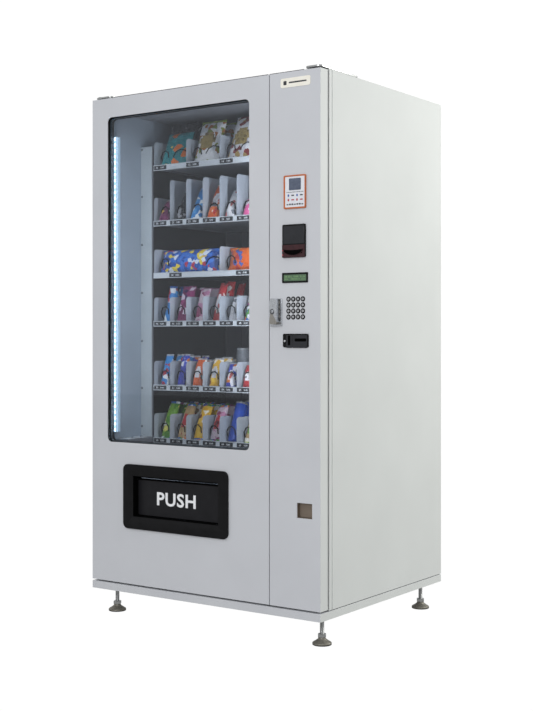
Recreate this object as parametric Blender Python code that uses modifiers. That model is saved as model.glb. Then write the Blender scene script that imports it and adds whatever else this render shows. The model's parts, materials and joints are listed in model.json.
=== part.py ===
"""Snack vending machine with a glass door, a payment door, trays and delivery hatch.

Metres, +Z up. The floor is z = 0, the machine stands centred on the origin and its
front faces -Y. Places are measured the way a fitter would: across from the left side,
back from the doors' front face, and up from the floor.
"""
import math

import bmesh
import bpy
from mathutils import Matrix, Vector

# ---- overall sizes -------------------------------------------------------------
WIDTH = 1.027
DEPTH = 0.868
HANDLE_REACH = 0.022
FOOT_HEIGHT = 0.096
PLINTH_TOP = 0.1235
BODY_BOTTOM = 0.126
BODY_TOP = 1.948
DOOR_BOTTOM = 0.130
DOOR_TOP = 1.943
DOOR_DEPTH = 0.045
BODY_FRONT = 0.055
SHEET = 0.003
GAP = 0.0003
SLIP = 0.0008

# ---- doors ---------------------------------------------------------------------
GLASS_DOOR_RIGHT = 0.818
PANEL_DOOR_LEFT = 0.8215
PIVOT_INSET = 0.020
PIVOT_BACK = 0.024
PIVOT_RADIUS = 0.006
WINDOW_ACROSS = (0.077, 0.734)
WINDOW_UP = (0.653, 1.870)
WINDOW_CORNER = 0.018
GLASS_LAP = 0.010
GLASS_BACK = (0.012, 0.030)
LED_ACROSS = (0.0793, 0.0915)
LED_UP = (0.687, 1.802)

# ---- delivery hatch ------------------------------------------------------------
BEZEL_ACROSS = (0.161, 0.646)
BEZEL_UP = (0.337, 0.575)
BEZEL_PROUD = 0.008
HATCH_ACROSS = (0.207, 0.601)
HATCH_UP = (0.383, 0.532)
HATCH_CHAMFER = 0.007
HATCH_WALL = 0.003
FLAP_BACK = 0.0205
FLAP_THICK = 0.008
FLAP_TOP_GAP = 0.010
FLAP_AXIS_DROP = 0.006
BIN_ACROSS = (0.150, 0.660)
BIN_BACK = (0.080, 0.400)
BIN_UP = (0.300, 0.560)
BIN_LIP = 0.372
BIN_WALL = 0.002
BIN_STAND_ACROSS = (0.30, 0.51)
BIN_STAND_BACK = (0.10, 0.36)

# ---- insulated product compartment -----------------------------------------------
LINER_ACROSS = (0.0065, 0.8195)
LINER_BACK = (0.0755, 0.865)
CAVITY_ACROSS = (0.050, 0.800)
CAVITY_BACK = 0.815
CAVITY_UP = (0.600, 1.900)
CHUTE_BACK = 0.420
CHUTE_BOTTOM = 0.160
BAY_BACK = 0.460
BAY_TOP = 0.560
COLUMN_WIDTH = 0.054
COLUMN_FRONT = 0.225
COLUMN_TOP = 1.788
RIGHT_COLUMN = 0.758
LEFT_RUNNER = (0.100, 0.117)
RIGHT_RUNNER = (0.745, 0.762)
LEDGE_UP = (0.630, 0.658)

# ---- trays and spirals -----------------------------------------------------------
TRAY_ACROSS = (0.1105, 0.7515)
TRAY_BACK = (0.225, 0.7375)
TRAY_WALL = 0.002
RAIL_HEIGHT = 0.0215
RAIL_THICK = 0.0045
FLOOR_DROP = 0.008
SIDE_WALL_HEIGHT = 0.030
REAR_WALL_HEIGHT = 0.075
LANE_COUNT = 8
LOW_DIVIDER = 0.086
TALL_DIVIDER = 0.150
# each tray: height of its price rail's top, lanes joined into one, divider height
TRAYS = (
    ("tray_1", 1.7130, 2, LOW_DIVIDER),
    ("tray_2", 1.4970, 1, TALL_DIVIDER),
    ("tray_3", 1.2950, 4, LOW_DIVIDER),
    ("tray_4", 1.1080, 1, LOW_DIVIDER),
    ("tray_5", 0.8605, 1, LOW_DIVIDER),
    ("tray_6", 0.6560, 1, LOW_DIVIDER),
)
COIL_RADIUS = 0.0300
COIL_WIRE = 0.0024
COIL_PITCH = 0.058
COIL_TURNS = 7
COIL_STEPS = 9
COIL_FRONT = 0.2330
COIL_SHAFT_END = 0.765
COIL_LIFT = 0.0015
COIL_HOLE = 0.005

# ---- payment door fittings: (across), (up) ----------------------------------------
READER_ACROSS = (0.882, 0.971)
READER_UP = (1.479, 1.592)
VALIDATOR_ACROSS = (0.877, 0.970)
VALIDATOR_UP = (1.314, 1.426)
VALIDATOR_SPLIT = 1.357
DISPLAY_ACROSS = (0.876, 0.976)
DISPLAY_UP = (1.231, 1.261)
CONTROL_ACROSS = (0.872, 0.985)
CONTROL_UP = (1.095, 1.270)
KEY_COLUMNS = 4
KEY_ROWS = 4
KEY_FIRST_ACROSS = 0.899
KEY_TOP_ROW = 1.174
KEY_PITCH_ACROSS = 0.0194
KEY_PITCH_UP = 0.0201
KEY_RADIUS = 0.0062
COIN_ACROSS = (0.878, 0.981)
COIN_UP = (1.011, 1.057)
COIN_SLOT = (0.904, 1.0345)
COIN_SLIT_ACROSS = (0.931, 0.969)
BUTTON_PLACE = (0.8865, 1.032)
BUTTON_RADIUS = 0.0036
CUP_ACROSS = (0.933, 0.994)
CUP_UP = (0.437, 0.488)
CUP_DEPTH = 0.060
LOCK_ACROSS = (0.8235, 0.8735)
LOCK_UP = (1.083, 1.177)
HANDLE_ACROSS = (0.834, 0.864)
HANDLE_UP = (1.089, 1.174)
KEY_BARREL = (0.846, 1.132)

# ---- feet, plinth and cooling ------------------------------------------------------
FOOT_INSET = 0.049
FOOT_BACK = (0.086, 0.790)
ROD_RADIUS = 0.0078
BELL_RADIUS = 0.0335
NUT_RADIUS = 0.0138
NUT_HEIGHT = 0.0130
BELL_HEIGHT = 0.022
FAN_CENTRE = (0.300, 0.340)
FAN_RADIUS = 0.092
CONDENSER_BACK = (0.520, 0.600)
BLADE_COUNT = 5

MACHINE = None
CUTTERS = None
HIDDEN = []


def start_scene():
    """Clear the scene and make the collections for the machine and its cutters."""
    for old in list(bpy.data.objects):
        bpy.data.objects.remove(old, do_unlink=True)
    machine = bpy.data.collections.new("snack_vending_machine")
    cutters = bpy.data.collections.new("cutters")
    bpy.context.scene.collection.children.link(machine)
    bpy.context.scene.collection.children.link(cutters)
    return machine, cutters


# ---- places ----------------------------------------------------------------------
def place(across, back, up):
    """A point measured from the left side, the doors' front face and the floor."""
    front = HANDLE_REACH - (DEPTH + HANDLE_REACH) / 2
    return Vector((across - WIDTH / 2, back + front, up))


def inset(span, amount):
    """The span made shorter by the amount at both ends."""
    return (span[0] + amount, span[1] - amount)


def middle(span):
    return (span[0] + span[1]) / 2


# ---- materials ---------------------------------------------------------------------
def material(name, colour, roughness, metallic=0.0, alpha=1.0):
    made = bpy.data.materials.get(name)
    if made is None:
        made = bpy.data.materials.new(name)
        made.use_nodes = True
        shader = made.node_tree.nodes["Principled BSDF"]
        shader.inputs["Base Color"].default_value = (*colour, 1.0)
        shader.inputs["Roughness"].default_value = roughness
        shader.inputs["Metallic"].default_value = metallic
        shader.inputs["Alpha"].default_value = alpha
    return made


COLOURS = {
    "painted_steel": ((0.53, 0.54, 0.56), 0.38, 0.0),
    "galvanised_steel": ((0.42, 0.43, 0.44), 0.42, 0.9),
    "liner_sheet": ((0.36, 0.41, 0.46), 0.45, 0.0),
    "tray_sheet": ((0.40, 0.44, 0.48), 0.42, 0.0),
    "black_plastic": ((0.012, 0.012, 0.013), 0.42, 0.0),
    "flap_plastic": ((0.020, 0.020, 0.023), 0.35, 0.0),
    "black_rubber": ((0.010, 0.010, 0.010), 0.70, 0.0),
    "black_wire": ((0.015, 0.015, 0.016), 0.35, 0.5),
    "lock_metal": ((0.55, 0.56, 0.58), 0.30, 1.0),
    "key_metal": ((0.50, 0.50, 0.51), 0.32, 1.0),
    "return_steel": ((0.20, 0.17, 0.14), 0.40, 0.6),
    "led_profile": ((0.75, 0.85, 1.00), 0.30, 0.0),
    "reader_plastic": ((0.70, 0.68, 0.66), 0.35, 0.0),
}


def finish(obj, slot, smooth=False):
    """Put the sub-part in the machine's collection with its own material."""
    colour, roughness, metallic = COLOURS[slot]
    obj.data.materials.clear()
    obj.data.materials.append(material(slot, colour, roughness, metallic))
    for holder in list(obj.users_collection):
        holder.objects.unlink(obj)
    MACHINE.objects.link(obj)
    if smooth:
        obj.data.shade_smooth()
        obj.data.set_sharp_from_angle(angle=math.radians(35))
    return obj


def hide_cutter(obj):
    """Keep a helper solid out of the machine and out of the render."""
    for holder in list(obj.users_collection):
        holder.objects.unlink(obj)
    CUTTERS.objects.link(obj)
    obj.hide_render = True
    obj.display_type = "WIRE"
    return obj


# ---- solids ------------------------------------------------------------------------
def object_from_bmesh(name, shape):
    mesh = bpy.data.meshes.new(name)
    shape.to_mesh(mesh)
    shape.free()
    obj = bpy.data.objects.new(name, mesh)
    bpy.context.scene.collection.objects.link(obj)
    return obj


def block(name, across, back, up, taper=0.0):
    """A box; with a taper its back face is smaller by that much on every side."""
    low = place(across[0], back[0], up[0])
    high = place(across[1], back[1], up[1])
    size = high - low
    shape = bmesh.new()
    bmesh.ops.create_cube(shape, size=1.0)
    for vertex in shape.verts:
        at_back = vertex.co.y > 0
        scale_x = size.x - 2 * taper if at_back else size.x
        scale_z = size.z - 2 * taper if at_back else size.z
        vertex.co = Vector((vertex.co.x * scale_x, vertex.co.y * size.y, vertex.co.z * scale_z))
        vertex.co += (low + high) / 2
    return object_from_bmesh(name, shape)


def rod(name, start, end, radius, sides=24, end_radius=None):
    """A solid round (or, with few sides, hexagonal) bar between two points."""
    axis = end - start
    shape = bmesh.new()
    bmesh.ops.create_cone(
        shape, cap_ends=True, segments=sides, radius1=radius,
        radius2=radius if end_radius is None else end_radius, depth=axis.length,
    )
    turn = Vector((0, 0, 1)).rotation_difference(axis).to_matrix().to_4x4()
    shape.transform(Matrix.Translation((start + end) / 2) @ turn)
    return object_from_bmesh(name, shape)


def rounded_rectangle(across, up, radius, steps=5):
    """Outline of a rectangle with round corners, counter-clockwise."""
    corners = (
        (across[1] - radius, up[1] - radius, 0),
        (across[0] + radius, up[1] - radius, 90),
        (across[0] + radius, up[0] + radius, 180),
        (across[1] - radius, up[0] + radius, 270),
    )
    outline = []
    for centre_x, centre_y, start in corners:
        for step in range(steps + 1):
            angle = math.radians(start + 90 * step / steps)
            outline.append((centre_x + radius * math.cos(angle), centre_y + radius * math.sin(angle)))
    return outline


def rectangle(across, up):
    return [(across[0], up[0]), (across[1], up[0]), (across[1], up[1]), (across[0], up[1])]


def sheet(name, outlines, span, lying=False):
    """A flat sheet with any holes: upright facing the front, or lying flat.

    The outlines hold (across, up) points, or (across, back) points when it lies flat;
    the span is its front-to-back extent, or its bottom-to-top extent.
    """
    curve = bpy.data.curves.new(name, "CURVE")
    curve.dimensions = "2D"
    curve.fill_mode = "BOTH"
    curve.extrude = (span[1] - span[0]) / 2
    for outline in outlines:
        spline = curve.splines.new("POLY")
        spline.points.add(len(outline) - 1)
        for point, (first, second) in zip(spline.points, outline):
            point.co = (first, second, 0, 1)
        spline.use_cyclic_u = True
    drawn = bpy.data.objects.new(name + "_outline", curve)
    bpy.context.scene.collection.objects.link(drawn)
    if lying:
        drawn.location = place(0, 0, middle(span))
    else:
        drawn.location = place(0, middle(span), 0)
        drawn.rotation_euler = (math.radians(90), 0, 0)
    return mesh_from_curve(name, drawn)


def mesh_from_curve(name, drawn):
    """The curve's solid as a closed mesh object in the same place."""
    bpy.context.view_layer.update()
    graph = bpy.context.evaluated_depsgraph_get()
    mesh = bpy.data.meshes.new_from_object(drawn.evaluated_get(graph))
    mesh.transform(drawn.matrix_world)
    shape = bmesh.new()
    shape.from_mesh(mesh)
    bmesh.ops.remove_doubles(shape, verts=shape.verts, dist=0.00001)
    bmesh.ops.recalc_face_normals(shape, faces=shape.faces)
    shape.to_mesh(mesh)
    shape.free()
    mesh.materials.clear()
    bpy.data.objects.remove(drawn, do_unlink=True)
    obj = bpy.data.objects.new(name, mesh)
    bpy.context.scene.collection.objects.link(obj)
    return obj


def turned(name, profile, centre, facing_front=False, steps=20):
    """A turned piece: (radius, height) points down its outer side, spun on its axis."""
    mesh = bpy.data.meshes.new(name)
    points = [(radius, 0, height) for radius, height in profile]
    edges = [(index, index + 1) for index in range(len(points) - 1)]
    mesh.from_pydata(points, edges, [])
    obj = bpy.data.objects.new(name, mesh)
    bpy.context.scene.collection.objects.link(obj)
    spin = obj.modifiers.new("spin", "SCREW")
    spin.axis = "Z"
    spin.angle = math.radians(360)
    spin.steps = steps
    spin.render_steps = steps
    spin.use_merge_vertices = True
    spin.merge_threshold = 0.00005
    obj.location = centre
    if facing_front:
        obj.rotation_euler = (math.radians(90), 0, 0)
    return obj


def combine(target, others, operation):
    """Add Boolean steps that weld solids on to the target or cut them out of it."""
    for number, other in enumerate(others):
        hide_cutter(other)
        step = target.modifiers.new(operation.lower() + "_" + str(number), "BOOLEAN")
        step.operation = operation
        step.solver = "EXACT"
        step.object = other
    return target


def weld(target, *others):
    return combine(target, others, "UNION")


def cut(target, *others):
    return combine(target, others, "DIFFERENCE")


def move_origin(obj, point):
    """Put the object's origin on its joint's axis without moving its shape."""
    obj.data.transform(Matrix.Translation(obj.location - point))
    obj.location = point
    return obj


# ---- cabinet -----------------------------------------------------------------------
def foot_places():
    """Centres of the four levelling feet, by name."""
    spots = {}
    for side, across in (("left", FOOT_INSET), ("right", WIDTH - FOOT_INSET)):
        for end, back in (("front", FOOT_BACK[0]), ("rear", FOOT_BACK[1])):
            spots["foot_" + end + "_" + side] = place(across, back, 0)
    return spots


def pivot_places():
    """The two doors' hinge lines, left and right, at floor level."""
    left = place(PIVOT_INSET, PIVOT_BACK, 0)
    right = place(WIDTH - PIVOT_INSET, PIVOT_BACK, 0)
    return left, right


def at_height(point, up):
    return Vector((point.x, point.y, up))


def make_plinth():
    plinth = block("base_plinth", (0, WIDTH), (0, DEPTH), (FOOT_HEIGHT, PLINTH_TOP))
    rim = 0.120
    pocket_roof = PLINTH_TOP - 0.004
    pocket = block("plinth_pocket", (rim, WIDTH - rim), (rim, DEPTH - rim),
                   (FOOT_HEIGHT - 0.01, pocket_roof))
    pins = []
    for pivot in pivot_places():
        pin_bottom = at_height(pivot, PLINTH_TOP - 0.005)
        pins.append(rod("lower_pivot", pin_bottom, at_height(pivot, PLINTH_TOP + 0.024), PIVOT_RADIUS, 16))
    holes = []
    for centre in foot_places().values():
        low = at_height(centre, FOOT_HEIGHT - 0.01)
        holes.append(rod("rod_hole", low, at_height(centre, PLINTH_TOP + 0.01), ROD_RADIUS + SLIP, 16))
    weld(plinth, *pins)
    cut(plinth, pocket, *holes)
    return finish(plinth, "painted_steel")


def make_feet():
    rod_top = PLINTH_TOP - 0.001
    profile = [
        (0, rod_top), (ROD_RADIUS - 0.001, rod_top), (ROD_RADIUS, rod_top - 0.001),
        (ROD_RADIUS, BELL_HEIGHT + 0.002), (NUT_RADIUS, BELL_HEIGHT),
        (0.024, BELL_HEIGHT - 0.006), (BELL_RADIUS - 0.002, 0.007), (BELL_RADIUS, 0.004),
        (BELL_RADIUS, 0), (0, 0),
    ]
    for name, centre in foot_places().items():
        foot = turned(name, profile, centre, steps=16)
        nut_base = at_height(centre, BELL_HEIGHT - 0.003)
        nut = rod("foot_nut", nut_base, at_height(centre, BELL_HEIGHT + NUT_HEIGHT), NUT_RADIUS, 6)
        stop_base = at_height(centre, FOOT_HEIGHT - NUT_HEIGHT)
        stop = rod("stop_nut", stop_base, at_height(centre, FOOT_HEIGHT - GAP), NUT_RADIUS, 6)
        weld(foot, nut, stop)
        finish(foot, "galvanised_steel", smooth=True)


def make_side_panel(name, mirrored):
    """A side sheet, its front corner post, and the shadow groove between the two."""
    def side(near, far):
        return (WIDTH - far, WIDTH - near) if mirrored else (near, far)

    up = (BODY_BOTTOM, BODY_TOP)
    panel = block(name, side(0, 0.004), (0.075, DEPTH), up)
    web = block("groove_web", side(0.0025, 0.006), (0.068, 0.079), up)
    post = block("corner_post", side(0, 0.020), (BODY_FRONT, 0.0715), up)
    weld(panel, web, post)
    return finish(panel, "painted_steel")


def make_top_panel():
    across = (0.0065, WIDTH - 0.0065)
    panel = block("top_panel", across, (0.073, DEPTH - 0.0035), (1.9438, 1.9468))
    header = block("header_post", (0.0205, WIDTH - 0.0205), (BODY_FRONT, 0.0735), (1.925, 1.9468))
    weld(panel, header)
    return finish(panel, "painted_steel")


def make_rear_panel():
    panel = block("rear_panel", (0.0045, WIDTH - 0.0045), (DEPTH - 0.0028, DEPTH), (BODY_BOTTOM, 1.9432))
    return finish(panel, "painted_steel")


def runner_blocks():
    """Ledges on the columns that each tray slides on."""
    ledges = []
    for name, rail_top, _, _ in TRAYS:
        top = rail_top - FLOOR_DROP - TRAY_WALL - GAP
        for across in (LEFT_RUNNER, RIGHT_RUNNER):
            ledges.append(block("runner", across, (0.240, 0.760), (top - 0.004, top)))
    return ledges


def make_inner_liner():
    """Foam-filled product compartment with its side columns, runners and left ledge."""
    liner = block("inner_liner", LINER_ACROSS, LINER_BACK, (BODY_BOTTOM, 1.9435))
    flange = block("front_flange", (0.0205, LINER_ACROSS[1]), (BODY_FRONT + GAP, 0.080),
                   (BODY_BOTTOM, 1.9245))
    cavity = block("product_cavity", CAVITY_ACROSS, (0.03, CAVITY_BACK), CAVITY_UP)
    chute = block("chute_cavity", CAVITY_ACROSS, (0.03, CHUTE_BACK), (CHUTE_BOTTOM, CAVITY_UP[0] + 0.01))
    bay = block("machine_bay", CAVITY_ACROSS, (BAY_BACK, DEPTH), (BODY_BOTTOM - 0.01, BAY_TOP))
    column_bottom = CAVITY_UP[0] - 0.005
    left_column = block("left_column", (CAVITY_ACROSS[0] - 0.005, CAVITY_ACROSS[0] + COLUMN_WIDTH),
                        (COLUMN_FRONT, CAVITY_BACK + 0.005), (column_bottom, COLUMN_TOP))
    right_column = block("right_column", (RIGHT_COLUMN, CAVITY_ACROSS[1] + 0.005),
                         (COLUMN_FRONT, CAVITY_BACK + 0.005), (column_bottom, COLUMN_TOP))
    ledge = block("left_ledge", (CAVITY_ACROSS[0] - 0.005, CAVITY_ACROSS[0] + COLUMN_WIDTH),
                  (0.085, COLUMN_FRONT + 0.005), LEDGE_UP)
    weld(liner, flange)
    cut(liner, cavity, chute, bay)
    weld(liner, left_column, right_column, ledge, *runner_blocks())
    return finish(liner, "liner_sheet")


def make_upper_hinge(name, across, back, pivot):
    """A flat plate on the roof whose pin drops into the door's top."""
    up = (BODY_TOP + 0.0005, BODY_TOP + 0.0065)
    outline = rounded_rectangle(across, back, 0.016, steps=4)
    plate = sheet(name, [outline], up, lying=True)
    pin_bottom = at_height(pivot, DOOR_TOP - 0.020)
    pin_top = at_height(pivot, up[0] + 0.002)
    pin = rod("upper_pivot", pin_bottom, pin_top, PIVOT_RADIUS, 16)
    weld(plate, pin)
    return finish(plate, "galvanised_steel")


def make_delivery_bin():
    """Open-topped bin with a lowered front edge, on a stand."""
    catcher = block("delivery_bin", BIN_ACROSS, BIN_BACK, BIN_UP)
    inside_up = (BIN_UP[0] + BIN_WALL, BIN_UP[1] + 0.01)
    inside = block("bin_inside", inset(BIN_ACROSS, BIN_WALL), inset(BIN_BACK, BIN_WALL), inside_up)
    mouth_back = (BIN_BACK[0] - 0.01, BIN_BACK[0] + 0.01)
    mouth = block("bin_mouth", inset(BIN_ACROSS, BIN_WALL), mouth_back, (BIN_LIP, BIN_UP[1] + 0.01))
    stand = block("bin_stand", BIN_STAND_ACROSS, BIN_STAND_BACK, (CHUTE_BOTTOM + GAP, BIN_UP[0] + 0.001))
    weld(catcher, stand)
    cut(catcher, inside, mouth)
    return finish(catcher, "tray_sheet")


# ---- cooling -----------------------------------------------------------------------
def make_cooling_unit():
    """Compressor and condenser on one base, with the fan's round shroud."""
    base = block("cooling_unit", (0.12, 0.72), (0.48, 0.84), (PLINTH_TOP + GAP, 0.150))
    condenser = block("condenser", (0.16, 0.44), CONDENSER_BACK, (0.145, 0.50))
    start = place(FAN_CENTRE[0], CONDENSER_BACK[0] - 0.02, FAN_CENTRE[1])
    end = place(FAN_CENTRE[0], CONDENSER_BACK[1] + 0.02, FAN_CENTRE[1])
    shroud = rod("shroud", start, end, FAN_RADIUS + 0.008, 32)
    compressor = rod("compressor", place(0.58, 0.66, 0.145), place(0.58, 0.66, 0.345), 0.085, 24)
    motor_bar_up = (FAN_CENTRE[1] - 0.012, FAN_CENTRE[1] + 0.012)
    motor_bar = block("motor_bar", (0.18, 0.42), (0.584, 0.598), motor_bar_up)
    weld(base, condenser, compressor)
    cut(base, shroud)
    weld(base, motor_bar)
    return finish(base, "galvanised_steel")


def make_fan():
    centre = place(FAN_CENTRE[0], 0.560, FAN_CENTRE[1])
    hub = rod("fan_impeller", centre + Vector((0, -0.018, 0)), centre + Vector((0, 0.020, 0)), 0.022, 20)
    blades = []
    for index in range(BLADE_COUNT):
        blade = block("blade", (FAN_CENTRE[0] - 0.020, FAN_CENTRE[0] + 0.020), (0.5585, 0.5615),
                      (FAN_CENTRE[1] + 0.015, FAN_CENTRE[1] + FAN_RADIUS))
        shift = Matrix.Translation(centre)
        turn = Matrix.Rotation(math.radians(360 * index / BLADE_COUNT), 4, "Y")
        pitch = Matrix.Rotation(math.radians(28), 4, "Z")
        blade.data.transform(shift @ turn @ pitch @ shift.inverted())
        blades.append(blade)
    move_origin(hub, centre)
    weld(hub, *blades)
    return finish(hub, "black_plastic")


# ---- glass door ---------------------------------------------------------------------
def door_pan(name, across, openings):
    """A folded sheet door: front skin with openings, and flanges round its back."""
    up = (DOOR_BOTTOM, DOOR_TOP)
    pan = block(name, across, (0, DOOR_DEPTH), up)
    hollow = block("door_hollow", inset(across, SHEET), (SHEET, DOOR_DEPTH + 0.01), inset(up, SHEET))
    cut(pan, hollow, *openings)
    return pan


def skin_opening(across, up, margin):
    """A cutter for a rectangular opening in a door's skin, smaller by the margin all round."""
    return block("skin_opening", inset(across, margin), (-0.01, 0.02), inset(up, margin))


def round_opening(across, up, radius, sides=14):
    """A cutter for a round opening in a door's skin."""
    return rod("round_opening", place(across, -0.01, up), place(across, 0.02, up), radius, sides)


def pivot_hole(pivot):
    low = at_height(pivot, DOOR_BOTTOM - 0.01)
    return rod("pivot_hole", low, at_height(pivot, DOOR_TOP + 0.01), PIVOT_RADIUS + SLIP, 16)


def make_glass_door_skin():
    left_pivot, _ = pivot_places()
    window_outline = rounded_rectangle(WINDOW_ACROSS, WINDOW_UP, WINDOW_CORNER)
    window = sheet("window_opening", [window_outline], (-0.01, 0.02))
    hatch = skin_opening(HATCH_ACROSS, HATCH_UP, -HATCH_WALL - GAP)
    pan = door_pan("glass_door_skin", (0, GLASS_DOOR_RIGHT), [window, hatch, pivot_hole(left_pivot)])
    move_origin(pan, left_pivot)
    return finish(pan, "painted_steel")


def make_door_inner_frame():
    """The foam core and inner lining round the glass, with the glass's rebate."""
    left_pivot, _ = pivot_places()
    edge = SHEET + GAP
    outer = rectangle((edge, GLASS_DOOR_RIGHT - edge), (DOOR_BOTTOM + edge, DOOR_TOP - edge))
    window = rectangle(inset(WINDOW_ACROSS, -0.0015), inset(WINDOW_UP, -0.0015))
    hatch = rectangle(inset(HATCH_ACROSS, -HATCH_WALL - GAP), inset(HATCH_UP, -HATCH_WALL - GAP))
    frame = sheet("door_inner_frame", [outer, window, hatch], (SHEET + GAP, DOOR_DEPTH - 0.0005))
    rebate = block("glass_rebate", inset(WINDOW_ACROSS, -GLASS_LAP - GAP), (SHEET, GLASS_BACK[1] + GAP),
                   inset(WINDOW_UP, -GLASS_LAP - GAP))
    cut(frame, rebate, pivot_hole(left_pivot))
    move_origin(frame, left_pivot)
    return finish(frame, "liner_sheet")


def make_window_glass():
    left_pivot, _ = pivot_places()
    glass = block("window_glass", inset(WINDOW_ACROSS, -GLASS_LAP), GLASS_BACK, inset(WINDOW_UP, -GLASS_LAP))
    move_origin(glass, left_pivot)
    colour = (0.75, 0.82, 0.85)
    finish(glass, "painted_steel")
    glass.data.materials[0] = material("clear_glass", colour, 0.03, 0.0, 0.35)
    return glass


def make_glazing_gasket():
    """Black rubber seal between the door's front skin and the glass."""
    left_pivot, _ = pivot_places()
    outer = rectangle(inset(WINDOW_ACROSS, -GLASS_LAP), inset(WINDOW_UP, -GLASS_LAP))
    inner = rounded_rectangle(inset(WINDOW_ACROSS, 0.0006), inset(WINDOW_UP, 0.0006), WINDOW_CORNER)
    gasket = sheet("glazing_gasket", [outer, inner], (SHEET + GAP, GLASS_BACK[0] - GAP))
    move_origin(gasket, left_pivot)
    return finish(gasket, "black_rubber")


def make_led_strip():
    left_pivot, _ = pivot_places()
    strip = block("led_strip", LED_ACROSS, (GLASS_BACK[1] + GAP, 0.0425), LED_UP)
    move_origin(strip, left_pivot)
    return finish(strip, "led_profile")


def make_hatch_bezel():
    left_pivot, _ = pivot_places()
    rim = rounded_rectangle(BEZEL_ACROSS, BEZEL_UP, 0.021)
    opening = rectangle(HATCH_ACROSS, HATCH_UP)
    bezel = sheet("hatch_bezel", [rim, opening], (-BEZEL_PROUD, -GAP))
    sleeve_outer = rectangle(inset(HATCH_ACROSS, -HATCH_WALL), inset(HATCH_UP, -HATCH_WALL))
    sleeve = sheet("hatch_sleeve", [sleeve_outer, opening], (-0.002, DOOR_DEPTH - 0.0005))
    reach = -HATCH_CHAMFER - 0.0005
    mouth = block("hatch_chamfer", inset(HATCH_ACROSS, reach), (-BEZEL_PROUD - 0.0005, -0.0035),
                  inset(HATCH_UP, reach), taper=HATCH_CHAMFER)
    axis = hatch_axis()
    reach = Vector(((HATCH_ACROSS[1] - HATCH_ACROSS[0]) / 2 + 0.002, 0, 0))
    sockets = rod("flap_sockets", axis - reach, axis + reach, 0.0034, 16)
    weld(bezel, sleeve)
    cut(bezel, mouth, sockets)
    move_origin(bezel, left_pivot)
    return finish(bezel, "black_plastic")


def hatch_axis():
    """The delivery flap's hinge line, near its top edge."""
    top = HATCH_UP[1] - FLAP_TOP_GAP
    return place(middle(HATCH_ACROSS), FLAP_BACK + FLAP_THICK / 2, top - FLAP_AXIS_DROP)


def make_push_flap():
    up = (HATCH_UP[0] + 0.002, HATCH_UP[1] - FLAP_TOP_GAP)
    flap = block("push_flap", inset(HATCH_ACROSS, 0.001), (FLAP_BACK, FLAP_BACK + FLAP_THICK), up)
    axis = hatch_axis()
    reach = Vector(((HATCH_ACROSS[1] - HATCH_ACROSS[0]) / 2 + 0.0015, 0, 0))
    pins = rod("flap_pins", axis - reach, axis + reach, 0.0028, 16)
    weld(flap, pins)
    move_origin(flap, axis)
    return finish(flap, "flap_plastic")


# ---- payment door --------------------------------------------------------------------
def key_centres():
    """Every key's centre, (across, up), row by row, by name."""
    centres = {}
    for row in range(KEY_ROWS):
        for column in range(KEY_COLUMNS):
            across = KEY_FIRST_ACROSS + KEY_PITCH_ACROSS * column
            up = KEY_TOP_ROW - KEY_PITCH_UP * row
            centres["key_" + str(row + 1) + "_" + str(column + 1)] = (across, up)
    return centres


def make_panel_door():
    _, right_pivot = pivot_places()
    openings = [pivot_hole(right_pivot), round_opening(*KEY_BARREL, 0.0106, 20)]
    for across, up in ((READER_ACROSS, READER_UP), (VALIDATOR_ACROSS, VALIDATOR_UP), (COIN_ACROSS, COIN_UP)):
        openings.append(skin_opening(across, up, 0.004))
    openings.append(skin_opening(DISPLAY_ACROSS, DISPLAY_UP, -GAP))
    openings.append(skin_opening(CUP_ACROSS, CUP_UP, 0))
    for across, up in key_centres().values():
        openings.append(round_opening(across, up, KEY_RADIUS + 0.0006))
    pan = door_pan("panel_door", (PANEL_DOOR_LEFT, WIDTH), openings)
    move_origin(pan, right_pivot)
    return finish(pan, "painted_steel")


def make_keys():
    """Domed metal keys, each held from behind the panel by its own flange."""
    proud = 0.0020
    flange = SHEET + 0.0004
    profile = [
        (0, proud), (KEY_RADIUS * 0.62, proud * 0.92),
        (KEY_RADIUS - 0.0006, proud * 0.7), (KEY_RADIUS, proud * 0.3),
        (KEY_RADIUS, -flange), (KEY_RADIUS + 0.0012, -flange), (KEY_RADIUS + 0.0012, -flange - 0.0014),
        (0, -flange - 0.0014),
    ]
    for name, (across, up) in key_centres().items():
        key = turned(name, profile, place(across, 0, up), facing_front=True, steps=14)
        finish(key, "key_metal", smooth=True)


def make_control_module():
    """Keypad board and display in one housing behind the panel."""
    _, right_pivot = pivot_places()
    housing = block("control_module", CONTROL_ACROSS, (0.0072, 0.040), CONTROL_UP)
    window = block("display_window", DISPLAY_ACROSS, (-0.0012, 0.010), DISPLAY_UP)
    weld(housing, window)
    move_origin(housing, right_pivot)
    return finish(housing, "black_plastic")


def make_reader():
    _, right_pivot = pivot_places()
    face = sheet("cashless_reader", [rounded_rectangle(READER_ACROSS, READER_UP, 0.004, 3)], (-0.006, -GAP))
    body = block("reader_body", inset(READER_ACROSS, 0.005), (-0.001, 0.030), inset(READER_UP, 0.005))
    weld(face, body)
    move_origin(face, right_pivot)
    return finish(face, "reader_plastic")


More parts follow.
